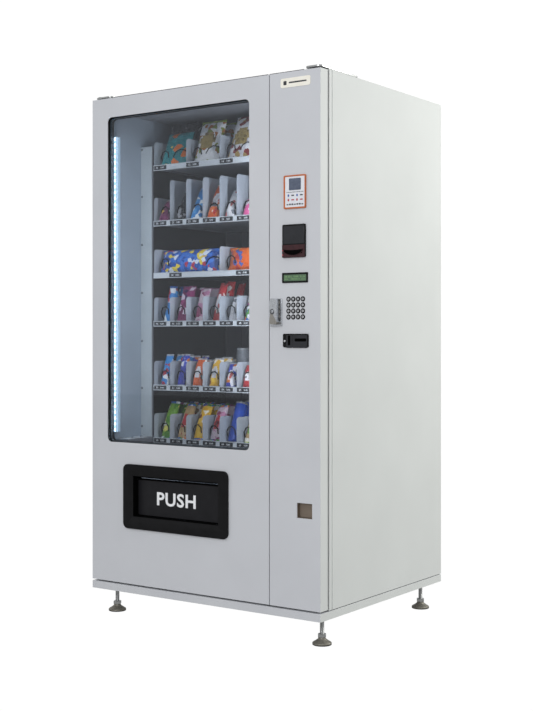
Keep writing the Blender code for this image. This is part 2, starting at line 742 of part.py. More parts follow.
def make_bill_validator():
    """Face plate, note mouth and the note stacker behind it."""
    _, right_pivot = pivot_places()
    outline = rounded_rectangle(VALIDATOR_ACROSS, VALIDATOR_UP, 0.004, 3)
    plate = sheet("bill_validator", [outline], (-0.006, -GAP))
    mouth = block("note_mouth", inset(VALIDATOR_ACROSS, 0.001), (-0.0085, -0.001),
                  (VALIDATOR_UP[0] + 0.001, VALIDATOR_SPLIT))
    stacker = block("note_stacker", inset(VALIDATOR_ACROSS, 0.005), (-0.001, 0.150),
                    (VALIDATOR_UP[0] + 0.005, VALIDATOR_UP[1] - 0.005))
    slot = block("note_slot", inset(VALIDATOR_ACROSS, 0.011), (-0.020, 0.070),
                 (VALIDATOR_UP[0] + 0.013, VALIDATOR_UP[0] + 0.019))
    weld(plate, mouth, stacker)
    cut(plate, slot)
    move_origin(plate, right_pivot)
    return finish(plate, "black_plastic")


def make_coin_acceptor():
    """Coin bezel with its slots, and the coin changer behind the door."""
    _, right_pivot = pivot_places()
    bezel = sheet("coin_acceptor", [rounded_rectangle(COIN_ACROSS, COIN_UP, 0.005, 3)], (-0.004, -GAP))
    neck = block("coin_neck", inset(COIN_ACROSS, 0.005), (-0.001, 0.050), inset(COIN_UP, 0.005))
    changer = block("coin_changer", (0.885, 0.975), (0.047, 0.130), (0.760, 1.050))
    slot = block("coin_slot", (COIN_SLOT[0] - 0.0016, COIN_SLOT[0] + 0.0016), (-0.010, 0.045),
                 (COIN_SLOT[1] - 0.0135, COIN_SLOT[1] + 0.0135))
    slit = block("slit", COIN_SLIT_ACROSS, (-0.010, -0.002), (1.0350, 1.0370))
    button = place(BUTTON_PLACE[0], -0.010, BUTTON_PLACE[1])
    well_end = place(BUTTON_PLACE[0], 0.018, BUTTON_PLACE[1])
    well = rod("button_well", button, well_end, BUTTON_RADIUS + 0.0004, 16)
    weld(bezel, neck, changer)
    cut(bezel, slot, slit, well)
    move_origin(bezel, right_pivot)
    return finish(bezel, "black_plastic")


def make_coin_return_button():
    centre = place(BUTTON_PLACE[0], 0, BUTTON_PLACE[1])
    profile = [
        (0, 0.0078), (BUTTON_RADIUS - 0.001, 0.0074), (BUTTON_RADIUS, 0.0064),
        (BUTTON_RADIUS, -0.010), (0, -0.010),
    ]
    button = turned("coin_return_button", profile, centre, facing_front=True, steps=14)
    return finish(button, "key_metal", smooth=True)


def cup_axis():
    """The coin return flap's hinge line."""
    return place(middle(CUP_ACROSS), 0.0135, CUP_UP[1] - 0.0040)


def make_coin_return_cup():
    _, right_pivot = pivot_places()
    outer = (CUP_ACROSS[0] - 0.003, CUP_ACROSS[1] + 0.003)
    cup = block("coin_return_cup", outer, (SHEET + GAP, CUP_DEPTH), (CUP_UP[0] - 0.006, CUP_UP[1] + 0.003))
    inside = block("cup_inside", inset(CUP_ACROSS, 0.001), (-0.01, CUP_DEPTH - 0.003), inset(CUP_UP, 0.001))
    chute_up = (CUP_UP[1] - 0.005, CUP_UP[1] + 0.010)
    chute = block("cup_chute", inset(CUP_ACROSS, 0.010), (0.030, CUP_DEPTH - 0.010), chute_up)
    axis = cup_axis()
    reach = Vector((0.0315, 0, 0))
    sockets = rod("cup_sockets", axis - reach, axis + reach, 0.0016, 12)
    cut(cup, inside, chute, sockets)
    move_origin(cup, right_pivot)
    return finish(cup, "return_steel")


def make_coin_return_flap():
    axis = cup_axis()
    up = (CUP_UP[0] + 0.0022, CUP_UP[1] - 0.0022)
    flap = block("coin_return_flap", inset(CUP_ACROSS, 0.0018), (0.0127, 0.0143), up)
    reach = Vector((0.0310, 0, 0))
    pins = rod("return_pins", axis - reach, axis + reach, 0.0012, 12)
    weld(flap, pins)
    move_origin(flap, axis)
    return finish(flap, "return_steel")


def make_lock_housing():
    """Lock plate with the barrel that the handle turns on."""
    _, right_pivot = pivot_places()
    plate = sheet("lock_housing", [rounded_rectangle(LOCK_ACROSS, LOCK_UP, 0.003, 3)], (-0.0045, -GAP))
    front = place(KEY_BARREL[0], -0.003, KEY_BARREL[1])
    barrel = rod("lock_barrel", front, place(KEY_BARREL[0], 0.040, KEY_BARREL[1]), 0.0100, 20)
    spindle_front = place(KEY_BARREL[0], -0.0175, KEY_BARREL[1])
    spindle = rod("lock_spindle", spindle_front, front, 0.0068, 20)
    weld(plate, barrel, spindle)
    move_origin(plate, right_pivot)
    return finish(plate, "lock_metal")


def make_lock_handle():
    """Turning handle, bored to run on the lock's spindle."""
    front = place(KEY_BARREL[0], -HANDLE_REACH - 0.005, KEY_BARREL[1])
    outline = rounded_rectangle(HANDLE_ACROSS, HANDLE_UP, 0.008, 4)
    handle = sheet("lock_handle", [outline], (-HANDLE_REACH, -0.0052))
    bore_back = place(KEY_BARREL[0], 0.0, KEY_BARREL[1])
    bore = rod("spindle_bore", place(KEY_BARREL[0], -0.0180, KEY_BARREL[1]), bore_back, 0.0072, 20)
    keyhole = rod("keyhole", front, place(KEY_BARREL[0], -0.0200, KEY_BARREL[1]), 0.0066, 20)
    cut(handle, bore, keyhole)
    move_origin(handle, place(KEY_BARREL[0], -0.012, KEY_BARREL[1]))
    return finish(handle, "lock_metal")


# ---- trays and spirals -----------------------------------------------------------------
def tray_section(rail_top, joined_lanes, divider_height):
    """Cross-section of a tray: its floor with side walls and dividers standing on it."""
    bottom = rail_top - FLOOR_DROP - TRAY_WALL
    floor = rail_top - FLOOR_DROP
    lane = (TRAY_ACROSS[1] - TRAY_ACROSS[0] - TRAY_WALL) / LANE_COUNT
    outline = [(TRAY_ACROSS[1], bottom), (TRAY_ACROSS[1], floor + SIDE_WALL_HEIGHT)]
    for index in range(LANE_COUNT, -1, -joined_lanes):
        near = TRAY_ACROSS[0] + lane * index
        height = SIDE_WALL_HEIGHT if index == LANE_COUNT else divider_height
        height = LOW_DIVIDER if index == 0 else height
        if index < LANE_COUNT:
            outline.append((near + TRAY_WALL, floor))
            outline.append((near + TRAY_WALL, floor + height))
        outline.append((near, floor + height))
        if index > 0:
            outline.append((near, floor))
    outline.append((TRAY_ACROSS[0], bottom))
    return outline


def coil_across():
    """Where a tray's leftmost spiral runs: half a lane in from its left end."""
    lane = (TRAY_ACROSS[1] - TRAY_ACROSS[0]) / LANE_COUNT
    return TRAY_ACROSS[0] + lane * 0.5 + 0.001


def make_trays():
    for name, rail_top, joined_lanes, divider_height in TRAYS:
        floor = rail_top - FLOOR_DROP
        section = tray_section(rail_top, joined_lanes, divider_height)
        body = sheet(name, [section], (TRAY_BACK[0] + 0.0035, TRAY_BACK[1] - 0.0005))
        rail_back = (TRAY_BACK[0], TRAY_BACK[0] + RAIL_THICK)
        rail = block("price_rail", TRAY_ACROSS, rail_back, (rail_top - RAIL_HEIGHT, rail_top))
        rear_back = (TRAY_BACK[1] - 0.0025, TRAY_BACK[1])
        rear = block("rear_wall", TRAY_ACROSS, rear_back, (floor - TRAY_WALL, floor + REAR_WALL_HEIGHT))
        coil_up = floor + COIL_RADIUS + COIL_WIRE + COIL_LIFT
        across = coil_across()
        hole_front = place(across, TRAY_BACK[1] - 0.0175, coil_up)
        hole_back = place(across, TRAY_BACK[1] + 0.0125, coil_up)
        hole = rod("shaft_hole", hole_front, hole_back, COIL_HOLE, 12)
        weld(body, rail, rear)
        cut(body, hole)
        move_origin(body, place(middle(TRAY_ACROSS), TRAY_BACK[0], floor))
        finish(body, "tray_sheet")


def make_spirals():
    """Wire spirals: an open coil that starts at its right side, an arm in to the axis, and the shaft."""
    for name, rail_top, _, _ in TRAYS:
        floor = rail_top - FLOOR_DROP
        axis_up = floor + COIL_RADIUS + COIL_WIRE + COIL_LIFT
        origin = place(coil_across(), COIL_FRONT, axis_up)
        curve = bpy.data.curves.new("coil", "CURVE")
        curve.dimensions = "3D"
        curve.bevel_depth = COIL_WIRE
        curve.bevel_resolution = 1
        curve.use_fill_caps = True
        points = []
        for step in range(COIL_TURNS * COIL_STEPS + 1):
            angle = 2 * math.pi * (step / COIL_STEPS + 0.25)
            back = COIL_PITCH * step / COIL_STEPS
            points.append((COIL_RADIUS * math.sin(angle), back, -COIL_RADIUS * math.cos(angle)))
        coil_end = COIL_PITCH * COIL_TURNS
        points.append((0, coil_end + 0.020, 0))
        points.append((0, COIL_SHAFT_END - COIL_FRONT, 0))
        spline = curve.splines.new("POLY")
        spline.points.add(len(points) - 1)
        for point, where in zip(spline.points, points):
            point.co = (*where, 1)
        drawn = bpy.data.objects.new("coil_curve", curve)
        drawn.location = origin
        bpy.context.scene.collection.objects.link(drawn)
        coil = mesh_from_curve(name.replace("tray", "spiral"), drawn)
        move_origin(coil, origin)
        finish(coil, "black_wire", smooth=True)


def main():
    global MACHINE, CUTTERS
    MACHINE, CUTTERS = start_scene()
    left_pivot, right_pivot = pivot_places()
    make_plinth()
    make_feet()
    make_side_panel("left_side_panel", mirrored=False)
    make_side_panel("right_side_panel", mirrored=True)
    make_top_panel()
    make_rear_panel()
    make_inner_liner()
    make_upper_hinge("upper_hinge_left", (0.003, 0.083), (0.012, 0.200), left_pivot)
    make_upper_hinge("upper_hinge_right", (WIDTH - 0.065, WIDTH - 0.0005), (0.001, 0.250), right_pivot)
    make_delivery_bin()
    make_cooling_unit()
    make_fan()
    make_glass_door_skin()
    make_door_inner_frame()
    make_window_glass()
    make_glazing_gasket()
    make_led_strip()
    make_hatch_bezel()
    make_push_flap()
    make_panel_door()
    make_keys()
    make_control_module()
    make_reader()
    make_bill_validator()
    make_coin_acceptor()
    make_coin_return_button()
    make_coin_return_cup()
    make_coin_return_flap()
    make_lock_housing()
    make_lock_handle()
    make_trays()
    make_spirals()


main()
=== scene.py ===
import json
import math
import random

import bmesh
import bpy
from mathutils import Matrix, Vector


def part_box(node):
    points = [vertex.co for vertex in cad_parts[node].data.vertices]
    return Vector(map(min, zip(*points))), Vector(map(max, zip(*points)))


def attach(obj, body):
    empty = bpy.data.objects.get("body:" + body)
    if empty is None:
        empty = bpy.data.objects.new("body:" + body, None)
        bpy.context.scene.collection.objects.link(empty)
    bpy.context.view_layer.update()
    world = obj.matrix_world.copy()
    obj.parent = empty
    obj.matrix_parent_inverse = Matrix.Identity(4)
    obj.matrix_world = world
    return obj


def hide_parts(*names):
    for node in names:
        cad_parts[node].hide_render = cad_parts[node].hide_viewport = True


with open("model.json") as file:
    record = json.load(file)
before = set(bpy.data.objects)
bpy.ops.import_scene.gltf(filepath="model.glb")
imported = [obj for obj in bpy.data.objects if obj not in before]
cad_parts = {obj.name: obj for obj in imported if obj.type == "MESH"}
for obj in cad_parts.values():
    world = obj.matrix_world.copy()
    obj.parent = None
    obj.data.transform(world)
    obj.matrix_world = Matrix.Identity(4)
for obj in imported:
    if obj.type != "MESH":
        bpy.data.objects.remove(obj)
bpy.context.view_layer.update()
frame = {"nodes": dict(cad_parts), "record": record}
bpy.context.view_layer.update()

# ---------------------------------------------------------------- where things are
# Places are given as (across, back, up): across from the left side, back from the
# doors' front face, and up from the floor, all in metres.
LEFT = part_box("left_side_panel")[0].x
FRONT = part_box("glass_door_skin")[0].y
MM = 0.001
LANES = 8
SHEET = 0.0012
TRAY_NAMES = ["tray_%d" % number for number in range(1, 7)]
JOINED = {"tray_1": 2, "tray_3": 4}
# How high the dividers stand over a tray's floor; the one at the right end is only a lip.
TALL_DIVIDER = {"tray_2": 0.163}
LOW_DIVIDER = 0.100
END_LIP = 0.030
RAIL_HEIGHT = 0.0215
RAIL_OVER_FLOOR = 0.008
# A lane's middle lies this far right of half its pitch.
LANE_SHIFT = 0.001
# The lanes with a spiral, by how many lanes lie between two dividers.
LANES_IN_USE = {1: range(LANES), 2: range(LANES), 4: (0, 3, 4, 7)}


def place(across, back, up):
    return Vector((LEFT + across, FRONT + back, up))


def span(node):
    """A CAD node's reach across, back and up, each as (low, high)."""
    low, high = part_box(node)
    return (low.x - LEFT, high.x - LEFT), (low.y - FRONT, high.y - FRONT), (low.z, high.z)


def middle(pair):
    return (pair[0] + pair[1]) / 2


# ---------------------------------------------------------------- finishes
def linear(hex_colour):
    """An sRGB hex colour as the linear values that shaders take."""
    parts = [int(hex_colour[i:i + 2], 16) / 255 for i in (1, 3, 5)]
    return tuple(p / 12.92 if p <= 0.04045 else ((p + 0.055) / 1.055) ** 2.4 for p in parts) + (1.0,)


def add(material, kind, inputs=None, **settings):
    """Adds one node: settings go on the node, inputs give a value or another node's output."""
    made = material.node_tree.nodes.new(kind)
    for name, value in settings.items():
        setattr(made, name, value)
    for name, value in (inputs or {}).items():
        if isinstance(value, bpy.types.NodeSocket):
            material.node_tree.links.new(value, made.inputs[name])
        else:
            made.inputs[name].default_value = value
    return made


def blank(name):
    material = bpy.data.materials.new(name)
    material.use_nodes = True
    material.node_tree.nodes.clear()
    return material


def ramp(material, factor, stops, blend="LINEAR"):
    """A colour ramp with (position, hex colour) stops."""
    made = add(material, "ShaderNodeValToRGB", {"Fac": factor})
    made.color_ramp.interpolation = blend
    elements = made.color_ramp.elements
    while len(elements) < len(stops):
        elements.new(0.5)
    for element, (position, colour) in zip(elements, stops):
        element.position = position
        element.color = linear(colour)
    return made.outputs["Color"]


def finish(name, colours, mottle_mm, grain_mm, relief_mm, rough, stretch=(1, 1, 1), **shader):
    """A solid finish: colour drifts between two near shades over mottle_mm, and a grain
    grain_mm wide stands relief_mm high. rough is the (smoothest, roughest) roughness."""
    material = blank(name)
    where = add(material, "ShaderNodeTexCoord").outputs["Object"]
    where = add(material, "ShaderNodeMapping", {"Vector": where, "Scale": stretch}).outputs["Vector"]
    drift = add(material, "ShaderNodeTexNoise", {"Vector": where, "Scale": 1000 / mottle_mm, "Detail": 3.0})
    grain = add(material, "ShaderNodeTexNoise", {"Vector": where, "Scale": 1000 / grain_mm, "Detail": 2.0})
    spread = add(material, "ShaderNodeMapRange", {
        "Value": grain.outputs["Fac"], "From Min": 0.3, "From Max": 0.7,
        "To Min": rough[0], "To Max": rough[1]})
    bump = add(material, "ShaderNodeBump", {
        "Height": grain.outputs["Fac"], "Strength": 0.6, "Distance": relief_mm * MM})
    inputs = {
        "Base Color": ramp(material, drift.outputs["Fac"], [(0.3, colours[0]), (0.7, colours[1])]),
        "Roughness": spread.outputs["Result"], "Normal": bump.outputs["Normal"]}
    inputs.update(shader)
    body = add(material, "ShaderNodeBsdfPrincipled", inputs)
    add(material, "ShaderNodeOutputMaterial", {"Surface": body.outputs["BSDF"]})
    return material


# Powder-coated steel: a fine orange-peel skin, satin, faintly uneven in shade.
door_paint = finish("powder_coated_steel_doors", ("#C5C7CB", "#C9CBCF"), 180, 1.6, 0.02, (0.34, 0.42))
# The sides' coat is the doors' powder coat made lighter and warmer: painted light on the faces turned to the
# side.
side_paint_painted_light = finish("powder_coated_steel_sides_painted_light", ("#CDD0CD", "#D1D4D1"), 260, 1.6, 0.02, (0.52, 0.60),
                    **{"Specular IOR Level": 0.2})
plinth_paint = finish("powder_coated_steel_plinth", ("#C3C5C9", "#C9CBCE"), 120, 1.6, 0.02, (0.38, 0.46))
# Hot-dip galvanised steel: dull grey with a soft spangle some 6 mm across.
zinc = finish("hot_dip_galvanised_steel", ("#8C8E8E", "#A8AAAA"), 6, 1.2, 0.03, (0.38, 0.55), Metallic=0.85)
# Turned and plated steel of feet and screws: brighter, with lathe lines round the part.
plated = finish("zinc_plated_turned_steel", ("#A2A4A3", "#B9BAB8"), 9, 0.7, 0.02, (0.28, 0.4),
                (1, 1, 5), Metallic=0.9)
# The bells are cast zinc left bare: a warmer, duller grey with a grainy skin.
bell_zinc = finish("bare_cast_zinc_bell", ("#6F6C63", "#8B887E"), 5, 1.0, 0.05, (0.42, 0.58), Metallic=0.6)
# Thermoformed liner: blue-grey satin plastic sheet with a faint orange peel.
liner_wall = finish("thermoformed_liner_wall", ("#7C8894", "#84909C"), 150, 2.5, 0.03, (0.3, 0.4))
# The back and floor copies are this same plastic: darker as painted shade, lighter as painted light.
liner_painted_shade = finish("thermoformed_liner_painted_shade", ("#666A71", "#6E7279"), 200, 6.0, 0.004, (0.6, 0.7))
liner_painted_light = finish("thermoformed_liner_painted_light", ("#B4BBC1", "#BCC3C9"), 120, 2.5, 0.03, (0.3, 0.4))
column_paint = finish("painted_column_cover", ("#9AA3A8", "#A2ABB0"), 90, 1.5, 0.02, (0.34, 0.42))
# Tray steel, epoxy painted in a cool mid grey.
tray_paint = finish("epoxy_painted_tray_steel", ("#929AA4", "#9DA5AF"), 60, 1.2, 0.02, (0.38, 0.48))
rail_paint = finish("anodised_price_rail", ("#B2B9C0", "#BDC4CA"), 40, 0.8, 0.01, (0.3, 0.38), (0.1, 1, 1))
# Black plastics: moulded with a fine spark-eroded texture, or polished for the flap.
textured_black = finish("moulded_black_abs", ("#0B0B0C", "#111113"), 30, 0.9, 0.05, (0.42, 0.55),
                        **{"Specular IOR Level": 0.16})
flap_black = finish("moulded_charcoal_abs", ("#17171A", "#1D1D20"), 45, 1.1, 0.03, (0.34, 0.44),
                    **{"Specular IOR Level": 0.2})
gloss_black = finish("polished_black_acrylic", ("#27282B", "#2E2F33"), 50, 4.0, 0.01, (0.10, 0.18),
                     **{"Specular IOR Level": 0.25})
rubber = finish("extruded_black_rubber", ("#0D0E0F", "#151617"), 25, 0.8, 0.05, (0.6, 0.75),
                **{"Specular IOR Level": 0.25})
seal_grey = finish("magnetic_door_seal", ("#2B2E31", "#34373A"), 25, 0.8, 0.04, (0.55, 0.7))
# Spiral wire: drawn steel dipped in black polymer, slightly shiny.
wire_black = finish("dipped_black_wire", ("#070708", "#0D0E0F"), 12, 0.8, 0.03, (0.45, 0.6),
                    **{"Specular IOR Level": 0.12})
# Satin chrome and stainless, brushed along one way so glints stretch.
satin_chrome = finish("satin_chrome_casting", ("#B4B7BB", "#C4C7CB"), 14, 0.7, 0.02, (0.22, 0.34),
                      Metallic=0.9)
brushed_key = finish("brushed_stainless_keys", ("#B9BBBE", "#CBCCCE"), 5, 0.5, 0.01, (0.26, 0.38),
                     (1, 1, 0.2), Metallic=0.75)
warm_steel = finish("brushed_stainless_return", ("#7A6E62", "#877A6D"), 20, 0.6, 0.02, (0.36, 0.5),
                    (0.15, 1, 1), Metallic=0.55)
handle_grey = finish("cast_zinc_grip", ("#83807A", "#95928C"), 5, 0.9, 0.05, (0.45, 0.6), Metallic=0.35)
# Printed and moulded small parts.
ivory = finish("engraved_ivory_laminate", ("#EFEBDD", "#F4F1E6"), 30, 0.6, 0.01, (0.3, 0.4))
print_white = finish("screen_printed_white", ("#E9EAEC", "#F2F3F4"), 8, 0.5, 0.01, (0.4, 0.5))
print_dark = finish("screen_printed_charcoal", ("#2A2C30", "#35373B"), 8, 0.5, 0.01, (0.4, 0.5))
print_blue = finish("screen_printed_blue", ("#3B5799", "#4663A6"), 8, 0.5, 0.01, (0.4, 0.5))
print_red = finish("screen_printed_red", ("#A83A44", "#B5454E"), 8, 0.5, 0.01, (0.4, 0.5))
reader_white = finish("moulded_white_abs", ("#DADCE2", "#E4E6EA"), 20, 0.8, 0.02, (0.28, 0.36))
reader_orange = finish("moulded_orange_abs", ("#B35B2C", "#C06936"), 20, 0.8, 0.02, (0.3, 0.4))
screen_grey = finish("etched_grey_screen", ("#4B5466", "#5A6376"), 8, 0.6, 0.01, (0.16, 0.24))
label_black = finish("black_price_label", ("#1B1D20", "#26282C"), 10, 0.5, 0.01, (0.3, 0.4))
mark_pale = finish("printed_label_figures", ("#B9C0C6", "#D2D7DB"), 4, 0.5, 0.01, (0.4, 0.5))
# Smoked red polycarbonate of the note mouth: dark wine with a wet gloss.
smoked_red = finish("smoked_red_polycarbonate", ("#33191D", "#402226"), 18, 3.0, 0.01, (0.1, 0.18),
                    **{"Specular IOR Level": 0.3})
# Near-black for slots, slits, recesses and the inside of mouths: painted shade standing for the dark in them.
painted_shade_black = finish("painted_shade_slot_black", ("#020202", "#040404"), 10, 1.0, 0.02, (0.7, 0.9),
                   **{"Specular IOR Level": 0.05})
copper = finish("drawn_copper_tube", ("#A5633F", "#B87350"), 20, 0.8, 0.02, (0.3, 0.45), Metallic=0.9)
# Small dark screws inside the window: blackened steel, nearly matt.
dark_screw = finish("blackened_steel_screws", ("#2E3338", "#3A4046"), 4, 0.6, 0.01, (0.35, 0.5), Metallic=0.5)
# Edge of the double glazing: a mill-finish aluminium bar gone grey behind the pane.
spacer_bar = finish("aluminium_glazing_spacer", ("#4A5258", "#565F66"), 20, 0.8, 0.01, (0.4, 0.5),
                    Metallic=0.4)


def glowing(name, colours, size_mm, strength):
    """A lit diffuser: the glow is the same all over and the colour drifts a little."""
    material = blank(name)
    where = add(material, "ShaderNodeTexCoord").outputs["Object"]
    drift = add(material, "ShaderNodeTexNoise", {"Vector": where, "Scale": 1000 / size_mm})
    shade = ramp(material, drift.outputs["Fac"], [(0.3, colours[0]), (0.7, colours[1])])
    body = add(material, "ShaderNodeBsdfPrincipled", {
        "Base Color": shade, "Roughness": 0.35, "Emission Color": shade, "Emission Strength": strength})
    add(material, "ShaderNodeOutputMaterial", {"Surface": body.outputs["BSDF"]})
    return material


# Cold white diodes under clear domes, in a channel that scatters blue.
led_white = glowing("cold_white_diode", ("#F6FAFF", "#FFFFFF"), 4, 6.0)
led_blue = glowing("led_channel_scatter", ("#A6C6DF", "#B8D3E8"), 9, 0.62)
# A pale backing beside the strip glows though it is no lamp: painted light, the diodes' spill on it.
led_painted_glow = glowing("painted_led_glow", ("#9DB1C0", "#A9BCCB"), 9, 0.30)
# Backlit character display: olive green field.
lcd_green = glowing("backlit_lcd_field", ("#48624A", "#536D52"), 14, 0.10)
lcd_mark = glowing("lit_lcd_characters", ("#6C8F5F", "#7A9D6B"), 5, 0.2)
lamp_red = glowing("red_indicator_lamp", ("#8C1020", "#A01828"), 3, 0.4)


def clear_glass(name, tint, shine):
    """Float glass: see-through, tinted on the way through, with a mirror that grows at grazing angles."""
    material = blank(name)
    where = add(material, "ShaderNodeTexCoord").outputs["Object"]
    drift = add(material, "ShaderNodeTexNoise", {"Vector": where, "Scale": 1.5, "Detail": 1.0})
    through = add(material, "ShaderNodeBsdfTransparent", {
        "Color": ramp(material, drift.outputs["Fac"], [(0.3, tint[0]), (0.7, tint[1])])})
    mirror = add(material, "ShaderNodeBsdfGlossy", {"Color": linear(shine), "Roughness": 0.02})
    share = add(material, "ShaderNodeFresnel", {"IOR": 1.5})
    side = add(material, "ShaderNodeNewGeometry")
    outside = add(material, "ShaderNodeMath", {0: 1.0, 1: side.outputs["Backfacing"]}, operation="SUBTRACT")
    share = add(material, "ShaderNodeMath", {0: share.outputs["Fac"], 1: outside.outputs["Value"]},
                operation="MULTIPLY")
    both = add(material, "ShaderNodeMixShader", {
        0: share.outputs["Value"], 1: through.outputs["BSDF"], 2: mirror.outputs["BSDF"]})
    add(material, "ShaderNodeOutputMaterial", {"Surface": both.outputs["Shader"]})
    return material


pane_glass = clear_glass("float_glass_pane", ("#F5F6F7", "#F8F9FA"), "#E6EAF0")


def printed_film(name, stops, patch_mm, twist=0.0, rough=(0.22, 0.36)):
    """Printed wrapper film: flat patches of ink in generic shapes, under a shiny crinkled skin."""
    material = blank(name)
    where = add(material, "ShaderNodeTexCoord").outputs["Object"]
    sway = add(material, "ShaderNodeTexNoise", {"Vector": where, "Scale": 420 / patch_mm, "Detail": 1.0})
    reach = (patch_mm * 0.9 * MM,) * 3
    moved = add(material, "ShaderNodeVectorMath", {0: sway.outputs["Color"], 1: reach, 2: where},
                operation="MULTIPLY_ADD")
    turned_round = add(material, "ShaderNodeMapping", {
        "Vector": moved.outputs["Vector"], "Rotation": (0.0, twist, 0.0)})
    cells = add(material, "ShaderNodeTexVoronoi", {
        "Vector": turned_round.outputs["Vector"], "Scale": 1000 / patch_mm})
    key = add(material, "ShaderNodeSeparateColor", {"Color": cells.outputs["Color"]})
    ink = ramp(material, key.outputs["Red"], stops, "CONSTANT")
    crinkle = add(material, "ShaderNodeTexNoise", {"Vector": where, "Scale": 110.0, "Detail": 3.0})
    bump = add(material, "ShaderNodeBump", {
        "Height": crinkle.outputs["Fac"], "Strength": 0.8, "Distance": 1.2 * MM})
    spread = add(material, "ShaderNodeMapRange", {
        "Value": crinkle.outputs["Fac"], "To Min": rough[0], "To Max": rough[1]})
    body = add(material, "ShaderNodeBsdfPrincipled", {
        "Base Color": ink, "Roughness": spread.outputs["Result"], "Normal": bump.outputs["Normal"]})
    add(material, "ShaderNodeOutputMaterial", {"Surface": body.outputs["BSDF"]})
    return material


# ---------------------------------------------------------------- shaping
def slab(made, across, back, up, material=0):
    """A six-sided block added to a mesh in the making."""
    corners = [place(a, b, u) for a in across for b in back for u in up]
    points = [made.verts.new(corner) for corner in corners]
    for loop in ((0, 1, 3, 2), (4, 6, 7, 5), (0, 4, 5, 1), (2, 3, 7, 6), (0, 2, 6, 4), (1, 5, 7, 3)):
        made.faces.new([points[i] for i in loop]).material_index = material


def facing(kind, first, second, depth):
    """A point of an outline, drawn in the door's face, in side view or in plan."""
    if kind == "front":
        return place(first, depth, second)
    if kind == "side":
        return place(depth, first, second)
    return place(first, second, depth)


def prism(made, outline, depths, kind="front", material=0):
    """An outline carried from one depth to another, with both ends closed."""
    near, far = [[made.verts.new(facing(kind, a, b, d)) for a, b in outline] for d in depths]
    made.faces.new(near).material_index = material
    made.faces.new(far[::-1]).material_index = material
    for i in range(len(outline)):
        j = (i + 1) % len(outline)
        made.faces.new((near[i], far[i], far[j], near[j])).material_index = material


def rounded(across, up, radius, steps=5):
    """A rectangle with rounded corners, as points."""
    points = []
    corners = (((across[1], up[0]), -90), ((across[1], up[1]), 0),
               ((across[0], up[1]), 90), ((across[0], up[0]), 180))
    for (a, u), start in corners:
        inward_a = radius if a == across[0] else -radius
        inward_u = radius if u == up[0] else -radius
        for step in range(steps + 1):
            angle = math.radians(start + 90 * step / steps)
            points.append((a + inward_a + radius * math.cos(angle), u + inward_u + radius * math.sin(angle)))
    return points
def inset(across, up, by, radius):
    """A rounded rectangle drawn in from all four sides."""
    return rounded((across[0] + by, across[1] - by), (up[0] + by, up[1] - by), radius)

def band(made, outer, inner, depths, material=0):
    """A flat frame between two outlines with as many points each."""
    rings = [[made.verts.new(place(a, d, u)) for a, u in outline]
             for outline in (outer, inner) for d in depths]
    count = len(outer)
    for one, two in ((0, 2), (2, 3), (3, 1), (1, 0)):
        for i in range(count):
            j = (i + 1) % count
            quad = (rings[one][i], rings[one][j], rings[two][j], rings[two][i])
            made.faces.new(quad).material_index = material


def oval(across, up, radius_a, radius_u, steps=20):
    turn = 2 * math.pi / steps
    return [(across + radius_a * math.cos(turn * i), up + radius_u * math.sin(turn * i))
            for i in range(steps)]


def lathe(made, profile, centre, along=(0, 0, 1), steps=20, material=0):
    """(distance along, radius) pairs spun about a line through centre."""
    turn = Vector((0, 0, 1)).rotation_difference(Vector(along)).to_matrix()
    rings = []
    for distance, radius in profile:
        ring = []
        for i in range(steps if radius > 1e-6 else 1):
            angle = 2 * math.pi * i / steps
            point = Vector((radius * math.cos(angle), radius * math.sin(angle), distance))
            ring.append(made.verts.new(centre + turn @ point))
        rings.append(ring)
    for low, high in zip(rings, rings[1:]):
        for i in range(steps):
            j = (i + 1) % steps
            quad = [low[i % len(low)], low[j % len(low)], high[j % len(high)], high[i % len(high)]]
            quad = list(dict.fromkeys(quad))
            if len(quad) > 2:
                made.faces.new(quad).material_index = material


def tube(made, path, radius, sides=8, closed=False, material=0):
    """A round bar swept along points."""
    rings = []
    count = len(path)
    for i, point in enumerate(path):
        before = path[i - 1] if i or closed else path[i]
        after = path[(i + 1) % count] if i < count - 1 or closed else path[i]
        run = (after - before).normalized()
        across = run.cross(Vector((0, 0, 1)) if abs(run.z) < 0.9 else Vector((0, 1, 0))).normalized()
        other = run.cross(across)
        ring = []
        for k in range(sides):
            angle = 2 * math.pi * k / sides
            ring.append(made.verts.new(point + radius * (across * math.cos(angle) + other * math.sin(angle))))
        rings.append(ring)
    pairs = list(zip(rings, rings[1:])) + ([(rings[-1], rings[0])] if closed else [])
    for low, high in pairs:
        for k in range(sides):
            j = (k + 1) % sides
            made.faces.new((low[k], low[j], high[j], high[k])).material_index = material
    if not closed:
        made.faces.new(rings[0][::-1]).material_index = material
        made.faces.new(rings[-1]).material_index = material


def piece(name, made, body, materials, bevel=0.0, smooth=40, segments=2):
    """A finished mesh as one named piece that rides on a body."""
    bmesh.ops.recalc_face_normals(made, faces=made.faces)
    mesh = bpy.data.meshes.new(name)
    made.to_mesh(mesh)
    made.free()
    obj = bpy.data.objects.new(name, mesh)
    bpy.context.scene.collection.objects.link(obj)
    for material in materials:
        mesh.materials.append(material)
    mesh.shade_smooth()
    mesh.set_sharp_from_angle(angle=math.radians(smooth))
    if bevel:
        soften = obj.modifiers.new("softened_edges", "BEVEL")
        soften.width = bevel
        soften.segments = segments
        soften.limit_method = "ANGLE"
        soften.angle_limit = math.radians(smooth)
        soften.harden_normals = True
    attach(obj, body)
    return obj


def body_of_node(node):
    return next(body for body, nodes in frame["record"]["behaviour"]["bodies"].items() if node in nodes)


